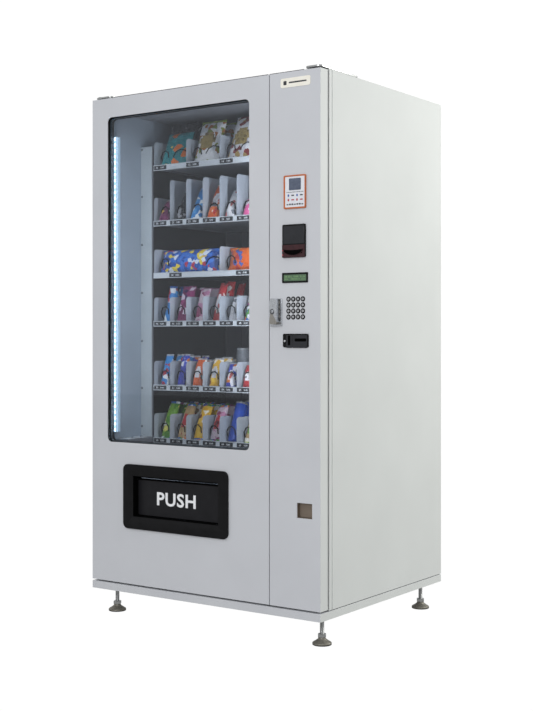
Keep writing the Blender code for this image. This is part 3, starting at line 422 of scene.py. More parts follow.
def refined(node, name, materials, bevel, choose=None, segments=2, smooth=40):
    """A CAD solid's shape with its edges softened, standing for the plain one."""
    made = bmesh.new()
    made.from_mesh(frame["nodes"][node].data)
    bmesh.ops.remove_doubles(made, verts=made.verts, dist=2e-5)
    bmesh.ops.dissolve_limit(made, angle_limit=math.radians(1.0), verts=made.verts, edges=made.edges)
    if choose:
        made.normal_update()
        for face in made.faces:
            middle_point = face.calc_center_median()
            spot = (middle_point.x - LEFT, middle_point.y - FRONT, middle_point.z)
            face.material_index = choose(spot, face.normal)
    else:
        for face in made.faces:
            face.material_index = 0
    obj = piece(name, made, body_of_node(node), materials, bevel, smooth, segments)
    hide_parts(node)
    return obj


def repaint(node, *materials):
    """A CAD solid whose shape is right keeps it and takes a better finish."""
    obj = frame["nodes"][node]
    obj.data.materials.clear()
    for material in materials:
        obj.data.materials.append(material)


def figures(text, height, across, up, back, thick, weight=0.0, spread=1.0, wide=None):
    """Raised characters facing the front, as a mesh; across and up are their middle."""
    curve = bpy.data.curves.new("figures", "FONT")
    curve.body = text
    curve.size = height
    curve.extrude = thick / 2
    curve.offset = weight * height
    curve.space_character = spread
    curve.resolution_u = 3
    obj = bpy.data.objects.new("figures", curve)
    bpy.context.scene.collection.objects.link(obj)
    bpy.context.view_layer.update()
    mesh = bpy.data.meshes.new_from_object(obj.evaluated_get(bpy.context.evaluated_depsgraph_get()))
    bpy.data.objects.remove(obj)
    bpy.data.curves.remove(curve)
    made = bmesh.new()
    made.from_mesh(mesh)
    bpy.data.meshes.remove(mesh)
    for face in made.faces:
        face.material_index = 0
    xs = [v.co.x for v in made.verts]
    ys = [v.co.y for v in made.verts]
    tall = max(ys) - min(ys)
    scale = height / tall
    stretch = wide / (max(xs) - min(xs)) if wide else scale
    centre_x, centre_y = (max(xs) + min(xs)) / 2, (max(ys) + min(ys)) / 2
    for v in made.verts:
        x, y, z = v.co
        v.co = place(across + (x - centre_x) * stretch, back - z, up + (y - centre_y) * scale)
    return made


def pan_heads(name, spots, along, radius, body, material, rise=0.45):
    """Pan-head screws with a dished drive, all of one size, as one piece."""
    made = bmesh.new()
    shape = [(-0.2, 0.7), (0, 1), (rise * 0.5, 0.96), (rise, 0.7), (rise * 1.05, 0.38),
             (rise * 0.35, 0.3), (rise * 0.3, 0)]
    for spot in spots:
        lathe(made, [(d * radius, r * radius) for d, r in shape], place(*spot), along, 12)
    return piece(name, made, body, [material], smooth=60)


# ---------------------------------------------------------------- camera, light and floor
# The camera stands level, off the right front corner, at about half the machine's height.
CAMERA_SPOT = (2.7644, -3.9314, 1.0482)
CAMERA_TURN = 35.15
LENS_MM = 63.44
SENSOR_MM = 36.0
LENS_SHIFT = -0.0269
# How bright the room and floor look to the camera, and how much light they cast.
SEEN_WHITE = 1.02
ROOM_LIGHT = 0.72
FLOOR_GLOW = 0.43
FLOOR_REACH = 14.0
FLOOR_SQUARES = 24


def make_camera():
    data = bpy.data.cameras.new("camera")
    data.lens = LENS_MM
    data.sensor_width = SENSOR_MM
    data.shift_y = LENS_SHIFT
    data.clip_end = 60.0
    camera = bpy.data.objects.new("camera", data)
    camera.location = CAMERA_SPOT
    camera.rotation_euler = (math.radians(90), 0, math.radians(CAMERA_TURN))
    bpy.context.scene.collection.objects.link(camera)
    bpy.context.scene.camera = camera
    bpy.context.scene.view_settings.view_transform = "Standard"


def make_room():
    """A white room: plain white where it is seen, dimmer where it only lights the machine."""
    world = bpy.data.worlds.new("white_room")
    world.use_nodes = True
    world.node_tree.nodes.clear()
    path = add(world, "ShaderNodeLightPath")
    seen = add(world, "ShaderNodeBackground", {"Color": linear("#FFFFFF"), "Strength": SEEN_WHITE})
    cast = add(world, "ShaderNodeBackground", {"Color": linear("#FBFCFF"), "Strength": ROOM_LIGHT})
    both = add(world, "ShaderNodeMixShader", {
        0: path.outputs["Is Camera Ray"], 1: cast.outputs["Background"], 2: seen.outputs["Background"]})
    add(world, "ShaderNodeOutputWorld", {"Surface": both.outputs["Shader"]})
    bpy.context.scene.world = world


def make_floor():
    """Seamless white paper that runs into the room without an edge."""
    made = bmesh.new()
    steps = FLOOR_SQUARES
    line = [(i / steps - 0.5) * 2 * FLOOR_REACH for i in range(steps + 1)]
    grid = [[made.verts.new((x, y, -0.5 * MM)) for y in line] for x in line]
    for i in range(steps):
        for j in range(steps):
            made.faces.new((grid[i][j], grid[i + 1][j], grid[i + 1][j + 1], grid[i][j + 1]))
    mesh = bpy.data.meshes.new("pale_floor")
    made.to_mesh(mesh)
    made.free()
    floor = bpy.data.objects.new("pale_floor", mesh)
    bpy.context.scene.collection.objects.link(floor)
    paper = blank("seamless_white_paper")
    where = add(paper, "ShaderNodeTexCoord").outputs["Object"]
    drift = add(paper, "ShaderNodeTexNoise", {"Vector": where, "Scale": 0.4})
    shade = ramp(paper, drift.outputs["Fac"], [(0.3, "#FDFDFD"), (0.7, "#FFFFFF")])
    path = add(paper, "ShaderNodeLightPath")
    seen = add(paper, "ShaderNodeEmission", {"Color": shade, "Strength": SEEN_WHITE})
    cast = add(paper, "ShaderNodeEmission", {"Color": shade, "Strength": FLOOR_GLOW})
    both = add(paper, "ShaderNodeMixShader", {
        0: path.outputs["Is Camera Ray"], 1: cast.outputs["Emission"], 2: seen.outputs["Emission"]})
    add(paper, "ShaderNodeOutputMaterial", {"Surface": both.outputs["Shader"]})
    mesh.materials.append(paper)


def soft_light(name, spot, target, size, watts, colour, tall=None):
    """A soft lamp. A tall narrow one stands inside the cabinet, where it leaves no glint."""
    data = bpy.data.lights.new(name, "AREA")
    data.shape = "RECTANGLE"
    data.size = size
    data.size_y = tall or size
    data.energy = watts
    data.color = linear(colour)[:3]
    lamp = bpy.data.objects.new(name, data)
    lamp.location = spot
    lamp.rotation_euler = (Vector(target) - Vector(spot)).to_track_quat("-Z", "Y").to_euler()
    lamp.visible_camera = False
    lamp.visible_glossy = tall is None
    bpy.context.scene.collection.objects.link(lamp)


make_camera()
make_room()
make_floor()
soft_light("right_high_softbox", (3.0, 2.3, 2.5), (0.5, 0.6, 1.5), 1.4, 85, "#FFFFFB")
soft_light("front_softbox", (1.4, -5.0, 2.6), (0.0, -0.4, 1.1), 2.0, 90, "#FCFDFF")
soft_light("cabinet_lamp_left", place(0.100, 0.060, 1.25), place(0.30, 0.60, 1.25), 0.02, 0.7,
           "#F8FAFF", 1.1)
soft_light("cabinet_lamp_right", place(0.768, 0.070, 1.25), place(0.20, 0.40, 1.25), 0.02, 5.0,
           "#FAFBFF", 1.1)


# ---------------------------------------------------------------- cabinet
# The liner's inside across, back and up, and where its walls stand.
INSIDE = ((0.045, 0.805), (0.05, 0.818), (0.598, 1.905))
BACK_WALL = 0.812
CEILING = 1.88
LEFT_WALL = 0.09
COLUMN_EDGE = 0.12
COLUMN_DEPTHS = (0.2, 0.24)
RIGHT_COLUMN = 0.70
RIGHT_WALL = 0.745
# The places of the liner's finishes in its list of materials; the dark and floor ones are the wall plastic in
# painted shade and painted light.
WALL, PAINTED_SHADE, FLOOR, COLUMN, OUTSIDE = range(5)


def choose_liner(spot, normal):
    """Which finish each face of the liner takes: faces at the back, the ceiling and the right-hand column,
    and faces turned to the right, take painted shade; upward faces take painted light.
    """
    across, back, up = spot
    if not all(low < value < high for value, (low, high) in zip(spot, INSIDE)):
        return OUTSIDE
    if back > BACK_WALL or (across > RIGHT_COLUMN and normal.x < -0.5) or across > RIGHT_WALL:
        return PAINTED_SHADE
    if up > CEILING:
        return PAINTED_SHADE
    if normal.z > 0.7:
        return FLOOR
    if COLUMN_DEPTHS[0] < back < COLUMN_DEPTHS[1] and normal.y < -0.7 and across < COLUMN_EDGE:
        return COLUMN
    if across > LEFT_WALL and normal.x > 0.7:
        return PAINTED_SHADE
    return WALL


def make_cabinet():
    edges = {"left_side_panel": 0.8, "right_side_panel": 0.8, "top_panel": 0.5, "rear_panel": 0.5}
    for node, edge in edges.items():
        refined(node, node + "_coated", [side_paint_painted_light], edge * MM)
    # The plinth's side and rear faces take the sides' lighter coat, as painted light.
    refined("base_plinth", "base_plinth_coated", [plinth_paint, side_paint_painted_light], 1.0 * MM,
            lambda spot, normal: 1 if abs(normal.x) > 0.7 or normal.y > 0.7 else 0)
    refined("inner_liner", "inner_liner_formed", [liner_wall, liner_painted_shade, liner_painted_light, column_paint, zinc],
            1.2 * MM, choose_liner)
    for side in ("left", "right"):
        refined("upper_hinge_" + side, "upper_hinge_%s_plate" % side, [plated], 0.9 * MM)
    refined("delivery_bin", "delivery_bin_folded", [tray_paint], 0.6 * MM)
    refined("cooling_unit", "cooling_unit_shell", [zinc], 1.0 * MM)
    refined("fan_impeller", "fan_impeller_moulded", [textured_black], 0.6 * MM)
    make_hinge_screws()
    make_column_fittings()
    make_back_fittings()
    make_cooling_detail()


def make_hinge_screws():
    for side, inner in (("left", 1), ("right", -1)):
        across, back, up = span("upper_hinge_" + side)
        pivot = 0.020 if side == "left" else across[1] - 0.020
        spots = [(middle(across) + inner * 0.012, b, up[1]) for b in (0.100, 0.135, back[1] - 0.020)]
        pan_heads("upper_hinge_%s_screws" % side, spots, (0, 0, 1), 0.0055, "cabinet", plated)
        made = bmesh.new()
        lathe(made, [(-0.006, 0.009), (0.0005, 0.009), (0.0022, 0.0078), (0.0026, 0.0050), (0.0008, 0.0046),
                     (0.0004, 0)], place(pivot, 0.024, up[1]), steps=24)
        piece("upper_hinge_%s_pin" % side, made, "cabinet", [plated])


def make_column_fittings():
    """Screws, seams and cover strips that show inside the window."""
    heights = (1.778, 1.594, 1.406, 1.218, 1.030, 0.846, 0.697)
    spots = [(0.0565, 0.2210, up) for up in heights]
    pan_heads("column_screws", spots, (0, -1, 0), 0.0042, "cabinet", dark_screw, rise=0.35)
    made = bmesh.new()
    outline = [(0.0505, 0.0), (0.0530, 0.0), (0.0530, 0.0022), (0.0990, 0.0022), (0.0990, 0.0), (0.1040, 0.0),
               (0.1040, 0.0034), (0.0505, 0.0034)]
    prism(made, [(a, 0.2246 - b) for a, b in outline], (0.660, 1.7875), "plan")
    piece("column_cover", made, "cabinet", [column_paint], 0.4 * MM)
    spots = [(0.062, back, 0.6582) for back in (0.1000, 0.1560, 0.2080)]
    pan_heads("ledge_screws", spots, (0, 0, 1), 0.0040, "cabinet", dark_screw, rise=0.35)
    # Low bead where the ledge's two sheets meet.
    made = bmesh.new()
    seam = ((0.0520, 0.090), (0.0760, 0.150), (0.1020, 0.222))
    tube(made, [place(across, back, 0.6583) for across, back in seam], 0.0008, 6)
    piece("ledge_seam", made, "cabinet", [rubber], smooth=60)
    # A dark sheet in the slit between column and tray ends: painted shade of the slit.
    made = bmesh.new()
    slab(made, (0.1043, 0.1062), (0.232, 0.700), (0.662, 1.780))
    piece("column_slit_painted_shade", made, "cabinet", [rubber], 0.3 * MM)
    # Back wall: pressed sheet with shallow upright ribs.
    made = bmesh.new()
    for k in range(15):
        across = 0.085 + 0.0465 * k
        prism(made, [(across - 0.006, 0.8148), (across - 0.003, 0.8118), (across + 0.003, 0.8118),
                     (across + 0.006, 0.8148)], (0.640, 1.870), "plan")
    piece("back_wall_ribs", made, "cabinet", [liner_painted_shade], 0.5 * MM)
    # Runners that carry the trays, on both columns.
    made = bmesh.new()
    for name in TRAY_NAMES:
        low = span(name)[2][0]
        for across in ((0.1045, 0.1095), (0.7525, 0.7572)):
            slab(made, across, (0.2360, 0.7300), (low + 0.010, low + 0.0125))
    piece("tray_runners", made, "cabinet", [zinc], 0.3 * MM)


def make_louvres(start_across, face):
    """Three columns of pressed louvres in the rear panel, each a quarter-round hood over a slot; a near-black
    strip under each hood is the slot's painted shade.
    """
    length, tall, proud, steps = 0.190, 0.014, 0.0062, 6
    made = bmesh.new()
    dark = bmesh.new()
    for column in range(3):
        start = start_across + 0.250 * column
        for row in range(9):
            low = 0.200 + 0.030 * row
            outline = []
            for k in range(steps + 1):
                angle = math.radians(90 * k / steps)
                hood = face + proud * math.cos(angle) + 0.0002
                outline.append((hood, low + tall * (1 - math.cos(angle))))
            outline.append((face + 0.0001, low))
            prism(made, outline, (start, start + length), "side")
            slab(dark, (start + 0.004, start + length - 0.004), (face + 0.0001, face + 0.0052),
                 (low - 0.0012, low - 0.0004))
    piece("rear_louvres", made, "cabinet", [side_paint_painted_light], 0.5 * MM)
    piece("rear_louvre_slot_painted_shade", dark, "cabinet", [painted_shade_black], 0.1 * MM)


def make_rear_screws(across, face, up):
    """Screws round the rear panel: seven down each side and four along its top and bottom."""
    spots = []
    for k in range(7):
        height = up[0] + 0.020 + (up[1] - up[0] - 0.040) * k / 6
        spots += [(across[0] + 0.014, face, height), (across[1] - 0.014, face, height)]
    for k in range(1, 5):
        along = across[0] + (across[1] - across[0]) * k / 5
        spots += [(along, face, height) for height in (up[0] + 0.016, up[1] - 0.016)]
    pan_heads("rear_panel_screws", spots, (0, 1, 0), 0.0045, "cabinet", plated)


def make_power_inlet(middle_a, middle_u, face):
    """A bezelled socket with three blades, low at one side of the rear panel."""
    made = bmesh.new()
    outer = rounded((middle_a - 0.026, middle_a + 0.026), (middle_u - 0.017, middle_u + 0.017), 0.005)
    inner = rounded((middle_a - 0.013, middle_a + 0.013), (middle_u - 0.010, middle_u + 0.010), 0.004)
    band(made, outer, inner, (face, face + 0.0035))
    # The socket's recess floor takes the near-black of painted shade.
    prism(made, inner, (face + 0.0002, face + 0.0008), "front", 1)
    for shift, rise in ((-0.006, -0.001), (0.006, -0.001), (0.0, 0.003)):
        slab(made, (middle_a + shift - 0.0011, middle_a + shift + 0.0011), (face + 0.0009, face + 0.0030),
             (middle_u + rise - 0.0025, middle_u + rise + 0.0025), 2)
    piece("power_inlet", made, "cabinet", [textured_black, painted_shade_black, plated], 0.3 * MM)


def make_back_fittings():
    across, back, up = span("rear_panel")
    make_louvres(across[0] + 0.150, back[1])
    make_rear_screws(across, back[1], up)
    make_power_inlet(across[1] - 0.110, 0.560, back[1])


def make_cooling_detail():
    """The condenser's copper tube, folded to and fro just behind the unit's front."""
    across, back, up = span("cooling_unit")
    made = bmesh.new()
    spots = []
    near, far = across[0] + 0.03, across[0] + 0.20
    for k in range(9):
        height = up[0] + 0.050 + 0.018 * k
        ends = (near, far) if k % 2 else (far, near)
        spots += [place(end, back[0] + 0.02, height) for end in ends]
    tube(made, spots, 0.0030, 8)
    piece("condenser_tube", made, "cabinet", [copper], smooth=60)
make_cabinet()


# ---------------------------------------------------------------- feet
# Outlines of a foot's bell and pad as (height, radius), and its two nuts as (lowest, tall).
BELL = ((0.0022, 0.0), (0.0022, 0.0325), (0.0045, 0.0334), (0.0072, 0.0330), (0.0092, 0.0305),
        (0.0125, 0.0250), (0.0165, 0.0190), (0.0195, 0.0150), (0.0222, 0.0132), (0.0240, 0.0130),
        (0.0250, 0.0122), (0.0250, 0.0))
PAD = ((0.0, 0.0), (0.0, 0.0322), (0.0010, 0.0332), (0.0026, 0.0332), (0.0026, 0.0))
NUTS = ((0.0250, 0.0125), (0.0830, 0.0115))
NUT_RADIUS = 0.0156
NUT_END = NUT_RADIUS * 0.86
NUT_BORE = 0.0068
NUT_CHAMFER = 0.0012


def threaded_rod(made, centre, low, high):
    """A rod with one helical thread, coarse enough for its ridges to show."""
    pitch, rows, sides, crest, root = 0.0024, 4, 20, 0.0078, 0.0066
    rings = []
    count = int((high - low) / pitch * rows)
    for k in range(count + 1):
        height = low + (high - low) * k / count
        ring = []
        for i in range(sides):
            angle = 2 * math.pi * i / sides
            phase = (height / pitch - i / sides) % 1.0
            radius = root + (crest - root) * (1 - abs(2 * phase - 1))
            point = Vector((radius * math.cos(angle), radius * math.sin(angle), height))
            ring.append(made.verts.new(centre + point))
        rings.append(ring)
    for one, two in zip(rings, rings[1:]):
        for i in range(sides):
            j = (i + 1) % sides
            made.faces.new((one[i], one[j], two[j], two[i]))
    made.faces.new(rings[0][::-1])
    made.faces.new(rings[-1])


def make_feet():
    """Levelling feet: threaded rods with two hex nuts and a cast bell on a rubber pad."""
    for foot in ("foot_front_left", "foot_front_right", "foot_rear_left", "foot_rear_right"):
        across, back, up = span(foot)
        centre = place(middle(across), middle(back), 0.0)
        body = foot + "_body"
        made = bmesh.new()
        lathe(made, BELL, centre, steps=40)
        piece(foot + "_bell", made, body, [bell_zinc], smooth=50)
        made = bmesh.new()
        lathe(made, PAD, centre, steps=40)
        piece(foot + "_pad", made, body, [rubber], smooth=50)
        made = bmesh.new()
        threaded_rod(made, centre, 0.024, up[1] - 0.0005)
        piece(foot + "_rod", made, body, [plated], smooth=75)
        made = bmesh.new()
        for low, tall in NUTS:
            high = low + tall
            nut = [(low, NUT_END), (low + NUT_CHAMFER, NUT_RADIUS), (high - NUT_CHAMFER, NUT_RADIUS),
                   (high, NUT_END), (high, NUT_BORE), (low, NUT_BORE), (low, NUT_END)]
            lathe(made, nut, centre, steps=6)
        bmesh.ops.remove_doubles(made, verts=made.verts, dist=1e-6)
        obj = piece(foot + "_nuts", made, body, [plated], 0.4 * MM, smooth=25)
        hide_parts(foot)


make_feet()


# ---------------------------------------------------------------- glass door
def make_glass_door():
    refined("glass_door_skin", "glass_door_coated", [door_paint], 1.1 * MM, segments=3)
    repaint("door_inner_frame", liner_wall)
    repaint("glazing_gasket", rubber)
    across, back, up = span("window_glass")
    panes = bmesh.new()
    for depth in ((back[0] + 0.0002, back[0] + 0.0040), (back[1] - 0.0040, back[1] - 0.0002)):
        prism(panes, inset(across, up, 0.0004, 0.006), depth)
    obj = piece("window_panes", panes, "glass_door", [pane_glass], 0.3 * MM)
    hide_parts("window_glass")
    spacer = bmesh.new()
    band(spacer, inset(across, up, 0.002, 0.012), inset(across, up, 0.0125, 0.016),
         (back[0] + 0.0044, back[1] - 0.0044))
    piece("window_spacer", spacer, "glass_door", [spacer_bar], 0.5 * MM)
    # Black printed border on the inner pane, which hides the sealant.
    border = bmesh.new()
    band(border, inset(across, up, 0.001, 0.012), inset(across, up, 0.0150, 0.016),
         (back[1] + 0.0001, back[1] + 0.0006))
    piece("window_border", border, "glass_door", [seal_grey], 0.1 * MM)
    make_led_strip()
    make_hatch()
    make_seal("glass_door_seal", "glass_door", (0.030, 0.792), (0.160, 1.915))


def make_led_strip():
    across, back, up = span("led_strip")
    made = bmesh.new()
    left, right = across[0], across[1]
    profile = [(left, back[0]), (left + 0.0012, back[0] - 0.0006), (left + 0.0016, back[0] + 0.0060),
               (right - 0.0016, back[0] + 0.0060), (right - 0.0012, back[0] - 0.0006), (right, back[0]),
               (right, back[1]), (left, back[1])]
    prism(made, profile, (up[0], up[1]), "plan")
    obj = piece("led_channel", made, "glass_door", [led_blue], 0.2 * MM)
    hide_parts("led_strip")
    # The backing's glow is painted light from the diodes.
    made = bmesh.new()
    slab(made, (left - 0.0050, right + 0.0100), (back[1] + 0.0001, back[1] + 0.0009),
         (up[0] + 0.002, up[1] - 0.002))
    piece("led_backing_painted_glow", made, "glass_door", [led_painted_glow], 0.2 * MM)
    dots = bmesh.new()
    count = 50
    dome = [(0.0, 0.0048), (0.0030, 0.0044), (0.0052, 0.0030), (0.0060, 0.0)]
    for k in range(count):
        height = up[0] + 0.008 + (up[1] - up[0] - 0.016) * k / (count - 1)
        lathe(dots, dome, place(middle(across) + 0.0008, back[0] + 0.0052, height), (0.25, -1, 0), 12)
    piece("led_domes", dots, "glass_door", [led_white], smooth=60)


def in_hatch_mouth(spot, normal):
    """Faces of the bezel's reveal, which lie in the dark behind its front and take the near-black of painted
    shade.
    """
    return 1 if normal.y > -0.6 and 0.19 < spot[0] < 0.62 and 0.36 < spot[2] < 0.55 else 0


def make_hatch():
    refined("hatch_bezel", "hatch_bezel_moulded", [textured_black, painted_shade_black], 1.4 * MM,
            in_hatch_mouth, segments=3)
    # The flap is black plastic; its body takes the near-black of painted shade, which darkens its edges in
    # the reveal.
    refined("push_flap", "push_flap_moulded", [painted_shade_black], 1.0 * MM, segments=3)
    across, back, up = span("push_flap")
    word = figures("PUSH", 0.0495, 0.3927, 0.4530, back[0] - 0.0004, 0.0012, 0.024, 1.08, 0.181)
    piece("push_word", word, "delivery_flap", [print_white], smooth=30)
    # Raised charcoal panel inside a black rim, and a near-black strip in the slit above: painted shade of the
    # slit.
    made = bmesh.new()
    panel = rounded((across[0] + 0.007, across[1] - 0.016), (up[0] + 0.005, up[1] - 0.006), 0.004)
    prism(made, panel, (back[0] - 0.0003, back[0] + 0.001))
    piece("flap_panel", made, "delivery_flap", [flap_black], 0.3 * MM)
    made = bmesh.new()
    prism(made, rounded((0.2085, 0.5995), (0.5242, 0.5380), 0.001, 2), (0.0292, 0.0312))
    piece("flap_slit_painted_shade", made, "glass_door", [painted_shade_black], 0.2 * MM)
    made = bmesh.new()
    low, high = across[0] + 0.010, across[1] - 0.010
    tube(made, [place(end, back[0] + 0.001, up[0] + 0.004) for end in (low, high)], 0.0022, 10)
    piece("flap_lower_lip", made, "delivery_flap", [flap_black], smooth=60)
    made = bmesh.new()
    for a in (low - 0.006, high + 0.006):
        side = -1 if a < middle(across) else 1
        lathe(made, [(0.0, 0.0), (0.0, 0.0040), (0.0035, 0.0040), (0.0040, 0.0034), (0.0040, 0.0)],
              place(a, 0.0245, up[1] - 0.006), (side, 0, 0), 12)
    piece("flap_trunnions", made, "delivery_flap", [flap_black], smooth=60)


def make_seal(name, body, across, up):
    """Magnetic door seal: a bellows strip round the back of the door."""
    made = bmesh.new()
    for by, low, high in ((0.0, 0.0452, 0.0470), (0.0025, 0.0470, 0.0500), (0.0010, 0.0500, 0.0540)):
        band(made, inset(across, up, by, 0.012), inset(across, up, 0.017 - by, 0.006), (low, high))
    piece(name, made, body, [seal_grey], 0.4 * MM)


make_glass_door()


# ---------------------------------------------------------------- payment door
def make_top_shadow_beads():
    """Thin black beads along the doors' top edges: painted shadow of the gap under the roof's lip."""
    bead = [(0.0012, 1.9428), (0.0012, 1.9445), (0.0020, 1.9455), (0.0032, 1.9455), (0.0036, 1.9428)]
    for body, across in (("glass_door", (0.045, 0.8140)), ("payment_door", (0.8190, 0.9600))):
        made = bmesh.new()
        prism(made, bead, across, "side")
        piece(body + "_top_painted_shadow_bead", made, body, [rubber], 0.2 * MM)


def make_payment_door():
    # The door's right-facing edge takes the sides' lighter coat, as painted light.
    refined("panel_door", "payment_door_coated", [door_paint, side_paint_painted_light], 1.0 * MM,
            lambda spot, normal: 1 if normal.x > 0.7 and spot[0] > 1.02 else 0, segments=3)
    make_seal("payment_door_seal", "payment_door", (0.832, 1.018), (0.160, 1.915))
    make_top_shadow_beads()
    make_nameplate()
    make_reader()
    make_validator()
    make_display()
    make_keypad()
    make_coin_fittings()
    make_lock()


def make_nameplate():
    made = bmesh.new()
    prism(made, rounded((0.867, 0.988), (1.890, 1.922), 0.007), (-0.0018, -0.0001))
    piece("nameplate", made, "payment_door", [ivory], 0.5 * MM)
    made = bmesh.new()
    prism(made, rounded((0.879, 0.892), (1.899, 1.913), 0.003), (-0.0021, -0.0017))
    prism(made, rounded((0.901, 0.973), (1.9035, 1.9085), 0.0024), (-0.0021, -0.0017))
    piece("nameplate_mark", made, "payment_door", [print_dark], smooth=30)


def make_reader():
    """Cashless reader: an orange rim round a white face with a grey window and plain pictograms."""
    across, back, up = span("cashless_reader")
    front = back[0]
    made = bmesh.new()
    outer = rounded(across, up, 0.004)
    inner = rounded((across[0] + 0.0062, across[1] - 0.0042), (up[0] + 0.0050, up[1] - 0.0050), 0.002)
    band(made, outer, inner, (front, front + 0.004))
    prism(made, outer, (front + 0.0025, back[1]))
    obj = piece("reader_rim", made, "payment_door", [reader_orange], 0.6 * MM)
    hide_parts("cashless_reader")
    made = bmesh.new()
    prism(made, inner, (front + 0.0010, front + 0.0026))
    piece("reader_face", made, "payment_door", [reader_white], 0.2 * MM)
    made = bmesh.new()
    prism(made, rounded((0.904, 0.952), (1.541, 1.581), 0.002), (front + 0.0004, front + 0.0012))
    piece("reader_window", made, "payment_door", [screen_grey], 0.2 * MM)
    make_pictograms(front)


def make_pictograms(front):
    """Plain dots, bars and strokes in rows under the window, each row as (up, size, ink, count)."""
    start, wide = 0.893, 0.070
    depths = (front + 0.0003, front + 0.0011)
    rows = ((1.5345, 0.0012, 2, 11), (1.5235, 0.0045, 0, 4), (1.5085, 0.0045, 1, 4), (1.4935, 0.0032, 2, 7))
    marks = bmesh.new()
    for up, size, colour, count in rows:
        for k in range(count):
            across = start + wide * (k + 0.5) / count
            ink = 2 if colour == 0 and k % 2 else colour
            if count == 4 and k % 2 == 0:
                prism(marks, oval(across, up, size * 0.75, size, 8), depths, "front", ink)
            elif count == 4:
                slab(marks, (across - size * 1.2, across + size * 1.2), depths,
                     (up - size * 0.45, up + size * 0.45), ink)
            else:
                half = wide / count * 0.34
                slab(marks, (across - half, across + half), depths,
                     (up - size * 0.8, up + size * (0.8 if k % 3 else 0.4)), ink)
    piece("reader_pictograms", marks, "payment_door",
          [print_blue, print_red, print_dark], smooth=30)


def make_validator():
    across, back, up = span("bill_validator")
    split = 1.357
    refined("bill_validator", "bill_validator_body", [textured_black, smoked_red], 1.2 * MM,
            lambda spot, normal: 1 if spot[2] < split and spot[1] < 0.003 else 0, segments=3)
    front = back[0]
    made = bmesh.new()
    outer = rounded((across[0] + 0.004, across[1] - 0.004), (split + 0.003, up[1] - 0.005), 0.003)
    prism(made, outer, (-0.0065, -0.0005))
    piece("validator_upper_plate", made, "payment_door", [gloss_black], 1.0 * MM)
    # Crescent mouth: a near-black solid in the smoked lower part, painted shade for the dark curved opening.
    made = bmesh.new()
    steps = 18
    low_a, high_a = 0.8815, 0.9630
    outline = []
    for k in range(steps + 1):
        share = k / steps
        curve = 1.3425 - 0.0215 * math.sin(math.pi * share) ** 0.45
        outline.append((low_a + (high_a - low_a) * share, curve))
    for k in range(1, steps):
        share = 1 - k / steps
        curve = 1.3415 - 0.0025 * math.sin(math.pi * share)
        outline.append((low_a + (high_a - low_a) * share, curve))
    prism(made, outline, (front - 0.0006, front + 0.0100))
    piece("validator_mouth", made, "payment_door", [painted_shade_black], smooth=30)
    lip = bmesh.new()
    path = [place(a, front - 0.0008, u) for a, u in outline[:steps + 1]]
    tube(lip, path, 0.0011, 8)
    piece("validator_mouth_lip", lip, "payment_door", [smoked_red], smooth=60)
    lamps = bmesh.new()
    lens = [(0.0, 0.0022), (0.0012, 0.0018), (0.0016, 0.0)]
    for height in (1.3385, 1.3235):
        lathe(lamps, lens, place(0.8805, front, height), (0, -1, 0), 12)
    piece("validator_lamps", lamps, "payment_door", [lamp_red], smooth=60)


def make_display():
    refined("control_module", "control_module_body", [textured_black], 0.6 * MM)
    left, right, low, high = 0.876, 0.976, 1.231, 1.261
    front = span("control_module")[1][0]
    made = bmesh.new()
    outer = rounded((left - 0.0022, right + 0.0022), (low - 0.0022, high + 0.0022), 0.003)
    inner = rounded((left + 0.0040, right - 0.0040), (low + 0.0040, high - 0.0040), 0.002)
    band(made, outer, inner, (front - 0.0018, front + 0.0006))
    piece("display_rim", made, "payment_door", [textured_black], 0.4 * MM)
    made = bmesh.new()
    prism(made, inner, (front - 0.0005, front - 0.0001))
    piece("display_field", made, "payment_door", [lcd_green], smooth=30)
    made = bmesh.new()
    random.seed(11)
    blanks = {0: (6, 11), 1: (3, 4, 12)}
    for row in range(2):
        for k in range(16):
            if k in blanks[row]:
                continue
            start = left + 0.0085 + 0.0052 * k
            base = low + 0.0165 - 0.0078 * row
            for part in range(3):
                tall = random.choice((0.0012, 0.0040, 0.0056))
                stroke = start + 0.0013 * part
                slab(made, (stroke, stroke + 0.0009), (front - 0.0008, front - 0.0005), (base, base + tall))
    piece("display_cells", made, "payment_door", [lcd_mark], smooth=30)


def make_keypad():
    """Sixteen domed metal keys, each with a plain sign, in moulded collars."""
    collars = bmesh.new()
    for row, signs in enumerate(("123+", "456-", "789<", "*0#>")):
        for column, sign in enumerate(signs):
            node = "key_%d_%d" % (row + 1, column + 1)
            across, back, up = span(node)
            centre = place(middle(across), 0.0, middle(up))
            flange = (across[1] - across[0]) / 2
            radius = flange - 0.0012
            base, top = -back[1], -back[0]
            lathe(collars, [(-0.0002, radius + 0.0004), (0.0012, radius + 0.0004), (0.0016, radius + 0.0009),
                            (0.0015, radius + 0.0020), (0.0008, radius + 0.0026), (-0.0002, radius + 0.0026)],
                  centre, (0, -1, 0), 28)
            made = bmesh.new()
            lathe(made, [(base, 0.0), (base, flange), (base + 0.0012, flange), (base + 0.0013, radius),
                         (top - 0.0008, radius), (top - 0.0003, radius * 0.93), (top - 0.0002, radius * 0.80),
                         (top - 0.0004, radius * 0.72)], centre, (0, -1, 0), 28)
            lathe(made, [(top - 0.0004, radius * 0.72), (top, radius * 0.68), (top + 0.0001, radius * 0.5),
                         (top + 0.0001, 0.0)], centre, (0, -1, 0), 28, 1)
            bmesh.ops.remove_doubles(made, verts=made.verts, dist=1e-7)
            obj = piece(node + "_cap", made, node + "_body",
                        [textured_black, brushed_key], smooth=50)
            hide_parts(node)
            tall = 0.0008 if sign == "-" else 0.0042
            raised = figures(sign, tall, middle(across), middle(up), back[0] - 0.0002, 0.0003, 0.01)
            piece(node + "_figure", raised, node + "_body", [print_dark], smooth=30)
    piece("key_collars", collars, "payment_door", [textured_black], smooth=50)


